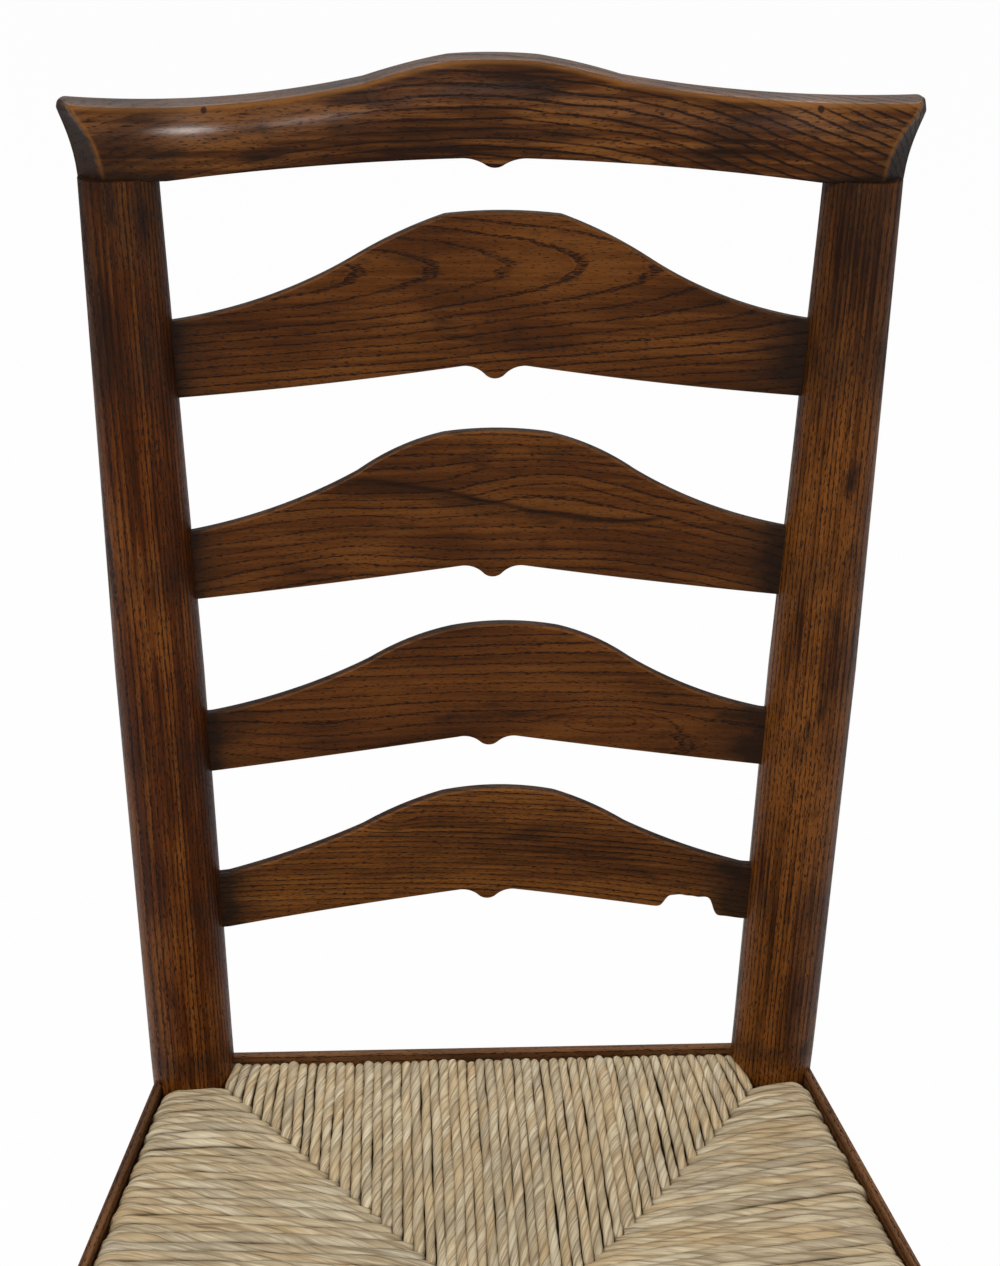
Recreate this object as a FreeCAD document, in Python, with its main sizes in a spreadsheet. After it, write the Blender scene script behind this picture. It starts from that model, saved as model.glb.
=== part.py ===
import FreeCAD, Part
import math
import os
import Sketcher
from FreeCAD import Vector

# A ladderback dining chair with a rush seat, in millimetres.
# +X is the sitter's left as seen from the front (the photo's right), +Y points backwards and +Z up.
# The origin is on the floor under the middle of the chair's bounding box.

os.makedirs("parts", exist_ok=True)
doc = FreeCAD.newDocument("ladderback_chair")

# Driving dimensions

WHOLE = [
    ("seat_height", 440.0, "floor to the top of the rush at the back posts"),
    ("setback", 141.8, "from the origin back to the back posts' axes at the seat"),
    ("rake", 7.5, "degrees the back leans backwards above the seat"),
    ("splay", 1.873, "degrees each back post leans outwards"),
    ("post_spread", 171.0, "middle of the chair to a back post's axis at the seat"),
]

POSTS = [
    ("post_radius", 24.0, "back post at the seat"),
    ("post_neck_radius", 20.2, "back post under the crest"),
    ("post_foot_radius", 17.0, "back post at the floor"),
    ("foot_taper", 120.0, "height of the back posts' taper to the floor"),
    ("post_full", 250.0, "height above the seat where the post starts to thin"),
    ("post_length", 518.6, "seat to the shoulder under the crest, along the rake"),
    ("bend_run", 24.0, "half the length of the bent part at the seat"),
    ("dowel_radius", 8.0, "round tenon on the post's top"),
    ("dowel_length", 24.0, "how far that tenon enters the crest"),
]

CREST = [
    ("crest_thickness", 38.0, "front to back"),
    ("crest_bow", 12.0, "how far the middle is bowed backwards"),
    ("crest_reach", 204.0, "middle to the lower corner of the end"),
    ("crest_ear", 215.8, "middle to the tip of the flared ear"),
    ("crest_base", 518.0, "underside at the posts"),
    ("crest_arch", 528.2, "underside at the middle"),
    ("crest_nib", 523.2, "tip of the small pendant"),
    ("crest_shelf_left", 554.3, "top edge at the left ear"),
    ("crest_shelf_right", 557.2, "top edge at the right ear"),
    ("crest_knee_out", 65.5, "where the top edge turns from hollow to round"),
    ("crest_knee_left", 564.0, "height of that turn on the left"),
    ("crest_knee_right", 565.4, "height of that turn on the right"),
    ("crest_brow_out", 23.0, "end of the flat middle of the top edge"),
    ("crest_brow_up", 574.9, "height of that end"),
    ("crest_roll", 6.0, "easing of the front top edge and of the ears' front corners"),
]

SLAT_COMMON = [
    ("slat_thickness", 6.7, "every slat"),
    ("slat_bow", 13.7, "how far every slat is bowed backwards"),
    ("slat_tenon", 14.0, "how far a slat's end enters the post"),
    ("nib_out", 17.0, "half the width of the pendant under a slat"),
    ("nib_tip", 5.0, "half the width of the pendant's rounded tip"),
]

# Reach, underside at the end, underside at the middle, pendant tip, top at the end, turn of the
# top edge to the left, to the right and up, end of the crown to the left, to the right and up,
# then how far the runs bend: hollow below, hollow above, shoulder and crown.
SLATS = {
    "top_slat": (164.0, 404.2, 417.2, 409.8, 445.2, 73.0, 81.0, 475.0, 24.5, 35.0, 497.2, 2.0, 4.8, 1.4, 1.6),
    "upper_middle_slat": (159.0, 292.6, 305.7, 298.7, 331.4, 71.2, 77.1, 361.0, 25.7, 30.0, 381.3,
                          1.6, 4.2, 2.4, 1.9),
    "lower_middle_slat": (152.0, 191.0, 203.7, 198.0, 225.4, 65.0, 78.0, 252.6, 20.0, 38.5, 270.3,
                          1.6, 3.8, 2.0, 2.5),
    "bottom_slat": (146.0, 92.9, 106.7, 100.5, 127.4, 69.8, 78.8, 151.0, 25.0, 38.0, 169.6,
                    0.7, 2.2, 1.4, 2.9),
}
SLAT_WORDS = ("reach", "foot", "arch", "nib", "eave", "knee_left", "knee_right", "knee_up",
              "brow_left", "brow_right", "brow_up", "foot_hollow", "eave_hollow", "shoulder", "crown")

NOTCH = [
    ("notch_in", 101.0, "inner end of the worn notch under the bottom slat"),
    ("notch_out", 131.0, "outer end of that notch"),
    ("notch_top", 106.8, "top of that notch above the seat"),
]

SEAT = [
    ("seat_edge", 190.3, "middle to the side strip's outer face at the post axis"),
    ("seat_flare", 0.196, "how much wider each side gets per millimetre forwards"),
    ("seat_front", 385.0, "post axis to the front strip's outer face"),
    ("seat_back", 12.7, "post axis back to the back strip's outer face"),
    ("strand", 5.5, "thickness of one rush strand"),
    ("strip_thickness", 5.0, "edge strips"),
    ("strip_drop", 2.0, "top of the strips below the top of the rush"),
    ("strip_height", 33.0, "edge strips"),
    ("rail_width", 20.0, "seat rails, across"),
    ("rail_height", 25.0, "seat rails, upright"),
    ("rail_round", 4.5, "bevel along the seat rails"),
    ("rail_dowel_radius", 7.5, "round tenons of the seat rails"),
    ("rail_dowel_length", 13.0, "round tenons of the seat rails"),
    ("head_inner", 224.0, "middle to the inner face of a front leg's square head"),
    ("head_depth", 42.0, "front leg's square head, front to back"),
    ("seat_roll", 9.0, "rounding of the rush where it turns over the rails"),
]

UNDERFRAME = [
    ("leg_out", 243.5, "middle to a front leg's axis"),
    ("leg_front", 364.0, "post axis forwards to a front leg's axis"),
    ("leg_radius", 19.5, "turned part of a front leg"),
    ("pad_radius", 25.0, "pad foot"),
    ("ankle_radius", 12.0, "above the pad foot"),
    ("front_bar_height", 236.0, "front stretcher above the floor"),
    ("upper_bar_height", 278.0, "upper side stretchers above the floor"),
    ("lower_bar_height", 168.0, "lower side stretchers above the floor"),
    ("back_bar_height", 242.0, "back stretcher above the floor"),
    ("bar_tenon_radius", 7.5, "tenons of all stretchers"),
    ("bar_radius", 11.0, "side and back stretchers"),
    ("bulb_radius", 17.0, "swellings of the front stretcher"),
    ("ring_radius", 16.0, "centre ring of the front stretcher"),
]

sheet = doc.addObject("Spreadsheet::Sheet", "Sizes")
VALUES = {}


def enter(row, alias, number, note):
    """Writes one driving dimension into the sheet and keeps its number for first drawing."""
    sheet.set("A%d" % row, note)
    sheet.set("B%d" % row, "%g" % number)
    sheet.setAlias("B%d" % row, alias)
    VALUES[alias] = float(number)


rows = WHOLE + POSTS + CREST + SLAT_COMMON + NOTCH + SEAT + UNDERFRAME
for slat_name, numbers in SLATS.items():
    rows += [("%s_%s" % (slat_name, word), number, "%s of the %s" % (word, slat_name))
             for word, number in zip(SLAT_WORDS, numbers)]
for index, (alias, number, note) in enumerate(rows):
    enter(index + 1, alias, number, note)
doc.recompute()


# Sizes that carry their sheet formula with them

class Size:
    """A number of the chair together with the formula that binds it to the sheet."""

    def __init__(self, value, text):
        self.value = value
        self.text = text

    def join(self, other, sign, result, swap=False):
        other = as_size(other)
        first, second = (other, self) if swap else (self, other)
        return Size(result(first.value, second.value), "(%s %s %s)" % (first.text, sign, second.text))

    def __add__(self, other):
        return self.join(other, "+", lambda a, b: a + b)

    def __radd__(self, other):
        return self.join(other, "+", lambda a, b: a + b, True)

    def __sub__(self, other):
        return self.join(other, "-", lambda a, b: a - b)

    def __rsub__(self, other):
        return self.join(other, "-", lambda a, b: a - b, True)

    def __mul__(self, other):
        return self.join(other, "*", lambda a, b: a * b)

    def __rmul__(self, other):
        return self.join(other, "*", lambda a, b: a * b, True)

    def __truediv__(self, other):
        return self.join(other, "/", lambda a, b: a / b)

    def __rtruediv__(self, other):
        return self.join(other, "/", lambda a, b: a / b, True)

    def __neg__(self):
        return 0 - self


def as_size(thing):
    """A plain number as a Size."""
    return thing if isinstance(thing, Size) else Size(float(thing), "%.6g" % thing)


def of(alias):
    """The Size of one cell of the sheet."""
    return Size(VALUES[alias], "Sizes.%s" % alias)


def root(size):
    return Size(math.sqrt(size.value), "sqrt(%s)" % size.text)


def sine(size):
    return Size(math.sin(math.radians(size.value)), "sin(%s)" % size.text)


def cosine(size):
    return Size(math.cos(math.radians(size.value)), "cos(%s)" % size.text)


def slope_angle(rise, run):
    """The angle in degrees whose tangent is rise over run."""
    ratio = as_size(rise) / run
    return Size(math.degrees(math.atan(ratio.value)), "(atan(%s) / 1 deg)" % ratio.text)


# Drawing helpers

def plane(body, role):
    return [item for item in body.Origin.OriginFeatures if item.Role == role][0]


def new_body(name):
    return doc.addObject("PartDesign::Body", name)


def place(thing, x, y, z, yaw=0, pitch=0, roll=0):
    """Binds a Placement to the sheet: position, then yaw, pitch and roll in degrees."""
    parts = [as_size(item).text for item in (x, y, z, yaw, pitch, roll)]
    thing.setExpression("Placement", "placement(vector(%s; %s; %s); rotation(%s; %s; %s))" % tuple(parts))


def new_sketch(body, role, name, lift=0, turn=0, tip=0, shift=0):
    """A sketch on one of the body's own planes, lifted off it along its normal and turned in it."""
    sketch = body.newObject("Sketcher::SketchObject", name)
    sketch.AttachmentSupport = [(plane(body, role), "")]
    sketch.MapMode = "FlatFace"
    parts = tuple(as_size(item).text for item in (shift, lift, turn, tip))
    sketch.setExpression("AttachmentOffset", "placement(vector(0; %s; %s); rotation(%s; %s; 0))" % parts)
    return sketch


def pin(sketch, edge, end, corner):
    """Holds one end of a drawn edge at a corner given by two Sizes."""
    for kind, along in (("DistanceX", corner[0]), ("DistanceY", corner[1])):
        index = sketch.addConstraint(Sketcher.Constraint(kind, -1, 1, edge, end, along.value))
        sketch.setExpression("Constraints[%d]" % index, along.text)


def outline(sketch, corners):
    """Draws a closed outline. Each corner is (x, y) or (x, y, bulge); a bulge bends the run that
    starts there into an arc that stands that far to the right of the way of travel."""
    corners = [tuple(as_size(item) for item in corner) for corner in corners]
    count = len(corners)
    ends = []
    for index, corner in enumerate(corners):
        following = corners[(index + 1) % count]
        start = Vector(corner[0].value, corner[1].value, 0)
        finish = Vector(following[0].value, following[1].value, 0)
        run = finish - start
        if len(corner) == 2:
            edge = sketch.addGeometry(Part.LineSegment(start, finish), False)
            ends.append((edge, 1, 2))
        else:
            bulge = corner[2]
            middle = (start + finish) * 0.5 + Vector(run.y, -run.x, 0) * (bulge.value / run.Length)
            edge = sketch.addGeometry(Part.Arc(start, middle, finish), False)
            forwards = sketch.getPoint(edge, 1).distanceToPoint(start) < 1e-6
            ends.append((edge, 1, 2) if forwards else (edge, 2, 1))
            across = corner[0] - following[0]
            along = corner[1] - following[1]
            chord = across * across + along * along
            size = bulge if bulge.value > 0 else -bulge
            radius = chord / (8 * size) + size / 2
            index = sketch.addConstraint(Sketcher.Constraint("Radius", edge, radius.value))
            sketch.setExpression("Constraints[%d]" % index, radius.text)
        pin(sketch, ends[-1][0], ends[-1][1], corner)
    for index, (edge, _, finish) in enumerate(ends):
        next_edge, next_start, _ = ends[(index + 1) % count]
        sketch.addConstraint(Sketcher.Constraint("Coincident", edge, finish, next_edge, next_start))


def circle(sketch, x, y, radius):
    x, y, radius = (as_size(item) for item in (x, y, radius))
    edge = sketch.addGeometry(Part.Circle(Vector(x.value, y.value, 0), Vector(0, 0, 1), radius.value), False)
    pin(sketch, edge, 3, (x, y))
    index = sketch.addConstraint(Sketcher.Constraint("Radius", edge, radius.value))
    sketch.setExpression("Constraints[%d]" % index, radius.text)


def extrude(body, kind, name, sketch, length, both_ways=False, reverse=False):
    """A Pad or Pocket of a sketch, its length bound to the sheet."""
    feature = body.newObject("PartDesign::%s" % kind, name)
    feature.Profile = sketch
    feature.setExpression("Length", as_size(length).text)
    feature.Midplane = both_ways
    feature.Reversed = reverse
    return feature


def revolve(body, name, sketch, axis="V_Axis", angle=360, reverse=False):
    feature = body.newObject("PartDesign::Revolution", name)
    feature.Profile = sketch
    feature.ReferenceAxis = (sketch, [axis])
    feature.setExpression("Angle", as_size(angle).text)
    feature.Reversed = reverse
    return feature


def edges_where(shape, test):
    """Names of the edges whose middle point and length pass the test."""
    names = []
    for index, edge in enumerate(shape.Edges):
        middle = edge.valueAt((edge.FirstParameter + edge.LastParameter) / 2)
        if test(middle, edge):
            names.append("Edge%d" % (index + 1))
    return names


def ease(body, base, test, radius, name, kind="Fillet"):
    """Rounds, or bevels, the edges of the body's last feature that pass the test."""
    doc.recompute()
    names = edges_where(base.Shape, test)
    feature = body.newObject("PartDesign::%s" % kind, name)
    feature.Base = (base, names)
    feature.setExpression("Radius" if kind == "Fillet" else "Size", as_size(radius).text)
    doc.recompute()
    return feature


def let_in(label, base, tools):
    """A node of the chair: base with sockets for the pieces that are let into it."""
    result = doc.addObject("Part::Cut", "Cut_%s" % label)
    result.Base = base
    if len(tools) == 1:
        result.Tool = tools[0]
    else:
        group = doc.addObject("Part::Compound", "Tools_%s" % label)
        group.Links = tools
        result.Tool = group
    return finished(label, result)


def finished(label, thing):
    """Names a piece as a node of the chair."""
    thing.Label = label
    NODES[label] = thing
    return thing


NODES = {}
SIDES = {"left": -1, "right": 1}

seat_height = of("seat_height")
setback = of("setback")
rake = of("rake")
splay = of("splay")
spread = of("post_spread")


def post_out(height_below_seat):
    """Middle of the chair to a back post's axis, that far below the seat."""
    return spread - height_below_seat * sine(splay) / cosine(splay)


# Crest rail

def depth_in(point, reach, bow):
    """How far a point lies behind the middle surface of a bowed board."""
    bend = (reach.value * reach.value + bow.value * bow.value) / (2 * bow.value)
    return math.hypot(point.x, point.y - (bow.value - bend)) - bend


def bowed_board(name, reach, thickness, bow, tenon, low, high, end_outline=None):
    """A board bent backwards in plan: a band between two arcs about one centre, padded upwards."""
    body = new_body(name)
    place(body, 0, setback, seat_height, 0, 0, -rake)
    bend = (reach * reach + bow * bow) / (2 * bow)
    inner = bend - thickness / 2
    outer = bend + thickness / 2
    half = reach + tenon
    front = bow - bend + root(inner * inner - half * half)
    back = bow - bend + root(outer * outer - half * half)
    sketch = new_sketch(body, "XY_Plane", name + "_plan", lift=low)
    front_sag = inner - root(inner * inner - half * half)
    back_sag = outer - root(outer * outer - half * half)
    outline(sketch, [(-half, front, -front_sag), (half, front), (half, back, back_sag), (-half, back)])
    band = extrude(body, "Pad", name + "_board", sketch, high - low)
    return body, band


def saw(body, name, corners, reach, low, high):
    """Saws the front outline through the board: everything outside it is cut away."""
    sketch = new_sketch(body, "XZ_Plane", name + "_front")
    outline(sketch, [(-reach, low), (reach, low), (reach, high), (-reach, high)])
    outline(sketch, corners)
    return extrude(body, "Pocket", name + "_sawn", sketch, 200, both_ways=True)


def crest_rail():
    reach, ear = of("crest_reach"), of("crest_ear")
    base, arch, nib = of("crest_base"), of("crest_arch"), of("crest_nib")
    shelf_left, shelf_right = of("crest_shelf_left"), of("crest_shelf_right")
    knee, knee_left, knee_right = of("crest_knee_out"), of("crest_knee_left"), of("crest_knee_right")
    brow, brow_up = of("crest_brow_out"), of("crest_brow_up")
    nib_out, nib_tip = of("nib_out"), of("nib_tip")
    flat = of("post_spread") - 8
    body, band = bowed_board("crest_board", reach, of("crest_thickness"), of("crest_bow"), 30,
                             base - 20, shelf_left + 40)
    saw(body, "crest", [
        (-reach, base + 1.5, 0.5), (-flat, base, -1.6), (-nib_out, arch, -0.9),
        (-nib_tip, nib + 2.0, 1.7), (nib_tip, nib + 2.0, -0.9), (nib_out, arch, -1.6),
        (flat, base, 0.5), (reach, base + 1.5, -1.3), (ear, shelf_right, -3.4),
        (knee, knee_right, 0.7), (brow, brow_up, 0.9),
        (-brow, brow_up, 0.7), (-knee, knee_left, -4.7), (-ear, shelf_left, -1.3),
    ], reach + 60, base - 30, shelf_left + 60)
    outer = of("crest_thickness").value / 2

    def front_rim(middle, edge):
        upper = middle.z > shelf_left.value - 2.5
        ear_side = abs(middle.x) > reach.value + 2 and middle.z > base.value + 8
        return abs(depth_in(middle, reach, of("crest_bow")) + outer) < 0.6 and (upper or ear_side)

    ease(body, body.Tip, front_rim, of("crest_roll"), "crest_front_roll", "Chamfer")
    return body


# Ladder slats

def slat(name):
    """One ladder slat: a thin bowed board with an ogee top, an arched underside and a pendant.
    Its plain ends run on into the posts."""
    (reach, foot, arch, nib, eave, knee_left, knee_right, knee_up, brow_left, brow_right, brow_up,
     below, above, shoulder, crown) = (of("%s_%s" % (name, word)) for word in SLAT_WORDS)
    bow, thickness, tenon = of("slat_bow"), of("slat_thickness"), of("slat_tenon")
    nib_out, nib_tip = of("nib_out"), of("nib_tip")
    end = reach + tenon
    body, board = bowed_board("%s_board" % name, reach, thickness, bow, tenon, foot - 20, brow_up + 20)
    saw(body, name, [
        (-end, foot), (-reach, foot, below), (-nib_out, arch, -1.5),
        (-nib_tip, nib + 2.6, 2.0), (nib_tip, nib + 2.6, -1.5), (nib_out, arch, below),
        (reach, foot), (end, foot), (end, eave), (reach, eave, -above),
        (knee_right, knee_up, shoulder), (brow_right, brow_up, crown), (-brow_left, brow_up, shoulder),
        (-knee_left, knee_up, -above), (-reach, eave), (-end, eave),
    ], end + 40, foot - 30, brow_up + 40)
    if name == "bottom_slat":
        inner, outer, top = of("notch_in"), of("notch_out"), of("notch_top")
        sketch = new_sketch(body, "XZ_Plane", "worn_notch")
        outline(sketch, [(inner, foot - 6), (outer, foot - 6), (outer, top - 4, 1.2),
                         (outer - 6, top, -0.5), (inner + 6, top - 0.6, 1.0), (inner, top - 6)])
        extrude(body, "Pocket", "worn_notch_cut", sketch, 100, both_ways=True)
    doc.recompute()
    return body


# Back posts

def back_post(side, name):
    """A turned post, bent at the seat: a tapered leg, a bent length and a raked stile whose top
    is a round tenon. Its placement leans it outwards."""
    body = new_body("%s_turned" % name)
    place(body, side * spread, setback, seat_height, 0, side * splay, 0)
    full, neck, toe = of("post_radius"), of("post_neck_radius"), of("post_foot_radius")
    run, length = of("bend_run"), of("post_length")
    dowel, dowel_length = of("dowel_radius"), of("dowel_length")
    drop = seat_height / cosine(splay)
    leg = new_sketch(body, "YZ_Plane", "%s_leg_profile" % name)
    outline(leg, [(0, -drop - 4), (toe, -drop - 4), (toe, -drop), (full, of("foot_taper") - drop),
                  (full, -run), (0, -run)])
    revolve(body, "%s_leg" % name, leg)
    bend = run / (sine(rake / 2) / cosine(rake / 2))
    ring = new_sketch(body, "XY_Plane", "%s_bend_section" % name, lift=-run)
    circle(ring, 0, 0, full)
    line = ring.addGeometry(Part.LineSegment(Vector(-30, bend.value, 0), Vector(30, bend.value, 0)), True)
    pin(ring, line, 1, (as_size(-30), bend))
    pin(ring, line, 2, (as_size(30), bend))
    revolve(body, "%s_bend" % name, ring, "Axis0", rake, reverse=True)
    stile = new_sketch(body, "YZ_Plane", "%s_stile_profile" % name, turn=-rake)
    outline(stile, [(0, run), (full, run), (full, of("post_full")), (neck, length),
                    (dowel, length), (dowel, length + dowel_length - 1.5),
                    (dowel - 1.5, length + dowel_length), (0, length + dowel_length)])
    revolve(body, "%s_stile" % name, stile)
    floor = new_sketch(body, "XY_Plane", "%s_floor" % name, lift=0, tip=0)
    floor.setExpression("AttachmentOffset", "placement(vector(0; 0; %s); rotation(0; %s; 0))"
                        % ((-seat_height).text, (-side * splay).text))
    circle(floor, -side * seat_height * sine(splay), 0, 60)
    extrude(body, "Pocket", "%s_foot_cut" % name, floor, 30)
    doc.recompute()
    return body


# Turned and shaped members between the posts

def turned(name, corners, x, y, z, yaw=0, roll=0):
    """A turning about its own Z axis, drawn as its half profile."""
    body = new_body(name)
    place(body, x, y, z, yaw, 0, roll)
    sketch = new_sketch(body, "XZ_Plane", "%s_profile" % name)
    outline(sketch, corners)
    revolve(body, "%s_turning" % name, sketch)
    doc.recompute()
    return body


def plain_bar(name, length, start, finish, x, y, z, yaw):
    """A plain stretcher, turned down at each end to its tenon."""
    thin = of("bar_tenon_radius")
    belly = of("bar_radius")
    return turned(name, [
        (0, start), (thin, start), (thin, start + 22), (belly, start + 36),
        (belly, length - finish - 36), (thin, length - finish - 22),
        (thin, length - finish), (0, length - finish),
    ], x, y, z, yaw, -90)


def rail(name, length, dowel_start, dowel_end, x, y, z, yaw):
    """A seat rail: a bevelled bar with a round tenon at each end, along its own Z axis."""
    body = new_body(name)
    place(body, x, y, z, yaw, 0, -90)
    wide, tall, corner = of("rail_width") / 2, of("rail_height") / 2, of("rail_round")
    sketch = new_sketch(body, "XY_Plane", "%s_section" % name)
    outline(sketch, [
        (-wide + corner, -tall), (wide - corner, -tall), (wide, -tall + corner), (wide, tall - corner),
        (wide - corner, tall), (-wide + corner, tall), (-wide, tall - corner), (-wide, -tall + corner),
    ])
    extrude(body, "Pad", "%s_bar" % name, sketch, length)
    for end, lift, run, back in (("near", 1, dowel_start + 1, True), ("far", length - 1, dowel_end + 1, False)):
        dowel = new_sketch(body, "XY_Plane", "%s_%s_dowel" % (name, end), lift=lift)
        circle(dowel, 0, 0, of("rail_dowel_radius"))
        extrude(body, "Pad", "%s_%s_tenon" % (name, end), dowel, run, reverse=back)
    doc.recompute()
    return body


def front_leg(side, name):
    """A front leg in one piece: square head at the seat's corner, turned shaft, pad foot."""
    out, ahead = of("leg_out"), of("leg_front")
    shaft, pad, ankle = of("leg_radius"), of("pad_radius"), of("ankle_radius")
    head = seat_height - (of("rail_height") + 2 * of("strand"))
    body = turned(name, [
        (0, 0), (pad - 3, 0, 2.7), (pad - 3, 17), (ankle + 2, 26), (ankle + 2, 42), (shaft, 74),
        (shaft, 354), (shaft - 3, 356), (shaft - 3, 360), (shaft, 362), (shaft, 371),
        (shaft - 3, 374), (shaft - 3, head + 4), (0, head + 4),
    ], side * out, setback - ahead, 0)
    inner, flare, edge = of("head_inner"), of("seat_flare"), of("seat_edge")
    front, deep = of("seat_front"), of("head_depth")
    square = new_sketch(body, "XY_Plane", "%s_head_plan" % name, lift=head)
    shape = [(inner - out, ahead - front), (edge + flare * front - out, ahead - front),
             (edge + flare * (front - deep) - out, ahead - front + deep), (inner - out, ahead - front + deep)]
    if side < 0:
        shape = [(-across, along) for across, along in reversed(shape)]
    outline(square, shape)
    extrude(body, "Pad", "%s_head" % name, square, seat_height - head)
    doc.recompute()
    return body


def side_strip(side, name):
    """A thin slip along one side of the rush, from the post to the front leg's head."""
    body = new_body(name)
    low = seat_height - of("strip_drop") - of("strip_height")
    place(body, 0, setback, low)
    edge, flare, thick = of("seat_edge"), of("seat_flare"), of("strip_thickness")
    near, far = 5, of("seat_front") - of("head_depth")
    shape = [(edge + flare * near, -near), (edge + flare * near - thick, -near),
             (edge + flare * far - thick, -far), (edge + flare * far, -far)]
    if side < 0:
        shape = [(-across, along) for across, along in reversed(shape)]
    sketch = new_sketch(body, "XY_Plane", "%s_plan" % name)
    outline(sketch, shape)
    strip = extrude(body, "Pad", "%s_slip" % name, sketch, of("strip_height"))

    def upper_outer(middle, edge_line):
        return middle.z > of("strip_height").value - 0.1 and edge_line.Length > 100

    ease(body, strip, upper_outer, 1.3, "%s_rim" % name)
    return body


def cross_strip(name, half, y_near, y_far):
    """A thin slip across the front or the back of the rush."""
    body = new_body(name)
    low = seat_height - of("strip_drop") - of("strip_height")
    place(body, 0, setback, low)
    sketch = new_sketch(body, "XY_Plane", "%s_plan" % name)
    outline(sketch, [(-half, y_near), (half, y_near), (half, y_far), (-half, y_far)])
    strip = extrude(body, "Pad", "%s_slip" % name, sketch, of("strip_height"))
    ease(body, strip, lambda middle, edge: middle.z > of("strip_height").value - 0.1 and edge.Length > 100,
         1.3, "%s_rim" % name)
    return body


def rush_pad():
    """The woven rush as one solid that turns over the rails at its edges."""
    body = new_body("rush_pad")
    thick = of("rail_height") + 2 * of("strand")
    place(body, 0, setback, seat_height - thick)
    edge, flare, thin = of("seat_edge"), of("seat_flare"), of("strip_thickness")
    front, back = of("seat_front") - thin, of("seat_back") - thin
    corner, ahead = of("post_spread") - 21, 17
    outline(new_sketch(body, "XY_Plane", "rush_plan"), [
        (-corner, back), (-corner, -ahead), (-(edge - thin + flare * ahead), -ahead),
        (-(edge - thin + flare * front), -front), (edge - thin + flare * front, -front),
        (edge - thin + flare * ahead, -ahead), (corner, -ahead), (corner, back),
    ])
    pad = extrude(body, "Pad", "rush_block", body.Group[-1], thick)

    def outer_rim(middle, line):
        level = min(abs(middle.z), abs(middle.z - thick.value)) < 0.1
        rim = middle.y > back.value - 1 or middle.y < -front.value + 1 or abs(middle.x) > edge.value - 4
        return level and line.Length > 60 and rim

    ease(body, pad, outer_rim, of("seat_roll"), "rush_turned_over")
    doc.recompute()
    return body


def dowel_tool(side, name):
    """The space a post's round tenon takes up in the crest rail."""
    tool = doc.addObject("Part::Cylinder", name)
    tool.setExpression("Radius", of("dowel_radius").text)
    tool.setExpression("Height", (of("dowel_length") + 20).text)
    parts = (side * spread, setback, seat_height, side * splay, -rake, of("post_length") - 20)
    tool.setExpression("Placement", "placement(vector(%s; %s; %s); rotation(0; %s; 0))"
                       " * placement(vector(0; 0; 0); rotation(0; 0; %s))"
                       " * placement(vector(0; 0; %s); rotation(0; 0; 0))"
                       % tuple(part.text for part in parts))
    return tool


# The chair, piece by piece

edge, flare, front, deep = of("seat_edge"), of("seat_flare"), of("seat_front"), of("head_depth")
inset = of("strip_thickness") + of("strand") + of("rail_width") / 2
rail_level = seat_height - of("strand") - of("rail_height") / 2
lean = slope_angle(flare, 1)

turned_posts = {word: back_post(side, "%s_back_post" % word) for word, side in SIDES.items()}
turned_legs = {word: front_leg(side, "%s_front_leg_turned" % word) for word, side in SIDES.items()}
slats = [finished(name, slat(name)) for name in SLATS]
crest = let_in("crest_rail", crest_rail(),
               [dowel_tool(side, "%s_dowel_space" % word) for word, side in SIDES.items()])

# Seat rails

half_front = of("head_inner")
half_back = spread - 19
near = front - deep + 2
bars = {
    "front_seat_rail": rail("front_rail_bar", 2 * half_front, of("rail_dowel_length"), of("rail_dowel_length"),
                            -half_front, setback - front + inset, rail_level, -90),
    "back_seat_rail": rail("back_rail_bar", 2 * half_back, 11, 11,
                           -half_back, setback + of("seat_back") - inset, rail_level, -90),
}
for word, side in SIDES.items():
    bars["%s_seat_rail" % word] = rail(
        "%s_rail_bar" % word, (near - 19) / cosine(lean), 11, 11,
        side * (edge + flare * near - inset), setback - near, rail_level, side * lean)

for label, bar in bars.items():
    finished(label, bar)

# Stretchers

out, ahead = of("leg_out"), of("leg_front")
thin = of("bar_tenon_radius")
shoulder, bulb, ring = thin + 3, of("bulb_radius"), of("ring_radius")
half = out - 3
stretchers = {}
stretchers["front_stretcher"] = turned("front_stretcher_turned", [
    (0, -half), (thin, -half), (thin, 18 - half), (shoulder, 26 - half), (shoulder, -128),
    (bulb, -106), (bulb, -74), (shoulder, -52), (shoulder, -14), (ring - 2.5, -12),
    (ring - 2.5, -8), (ring, -5), (ring, 5), (ring - 2.5, 8), (ring - 2.5, 12), (shoulder, 14),
    (shoulder, 52), (bulb, 74), (bulb, 106), (shoulder, 128), (shoulder, half - 26),
    (thin, half - 18), (thin, half), (0, half),
], 0, setback - ahead, of("front_bar_height"), -90, -90)
for height_word in ("upper", "lower"):
    height = of("%s_bar_height" % height_word)
    across = out - post_out(seat_height - height)
    length = root(across * across + ahead * ahead)
    turn = slope_angle(across, ahead)
    for word, side in SIDES.items():
        name = "%s_%s_side_stretcher" % (word, height_word)
        stretchers[name] = plain_bar("%s_turned" % name, length, 3, 6,
                                     side * out, setback - ahead, height, side * turn)
at_post = post_out(seat_height - of("back_bar_height"))
stretchers["back_stretcher"] = plain_bar("back_stretcher_turned", 2 * at_post, 6, 6,
                                         -at_post, setback - 2.5, of("back_bar_height"), -90)
for label, bar in stretchers.items():
    finished(label, bar)

# Posts and legs with their sockets, then the seat between them

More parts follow.
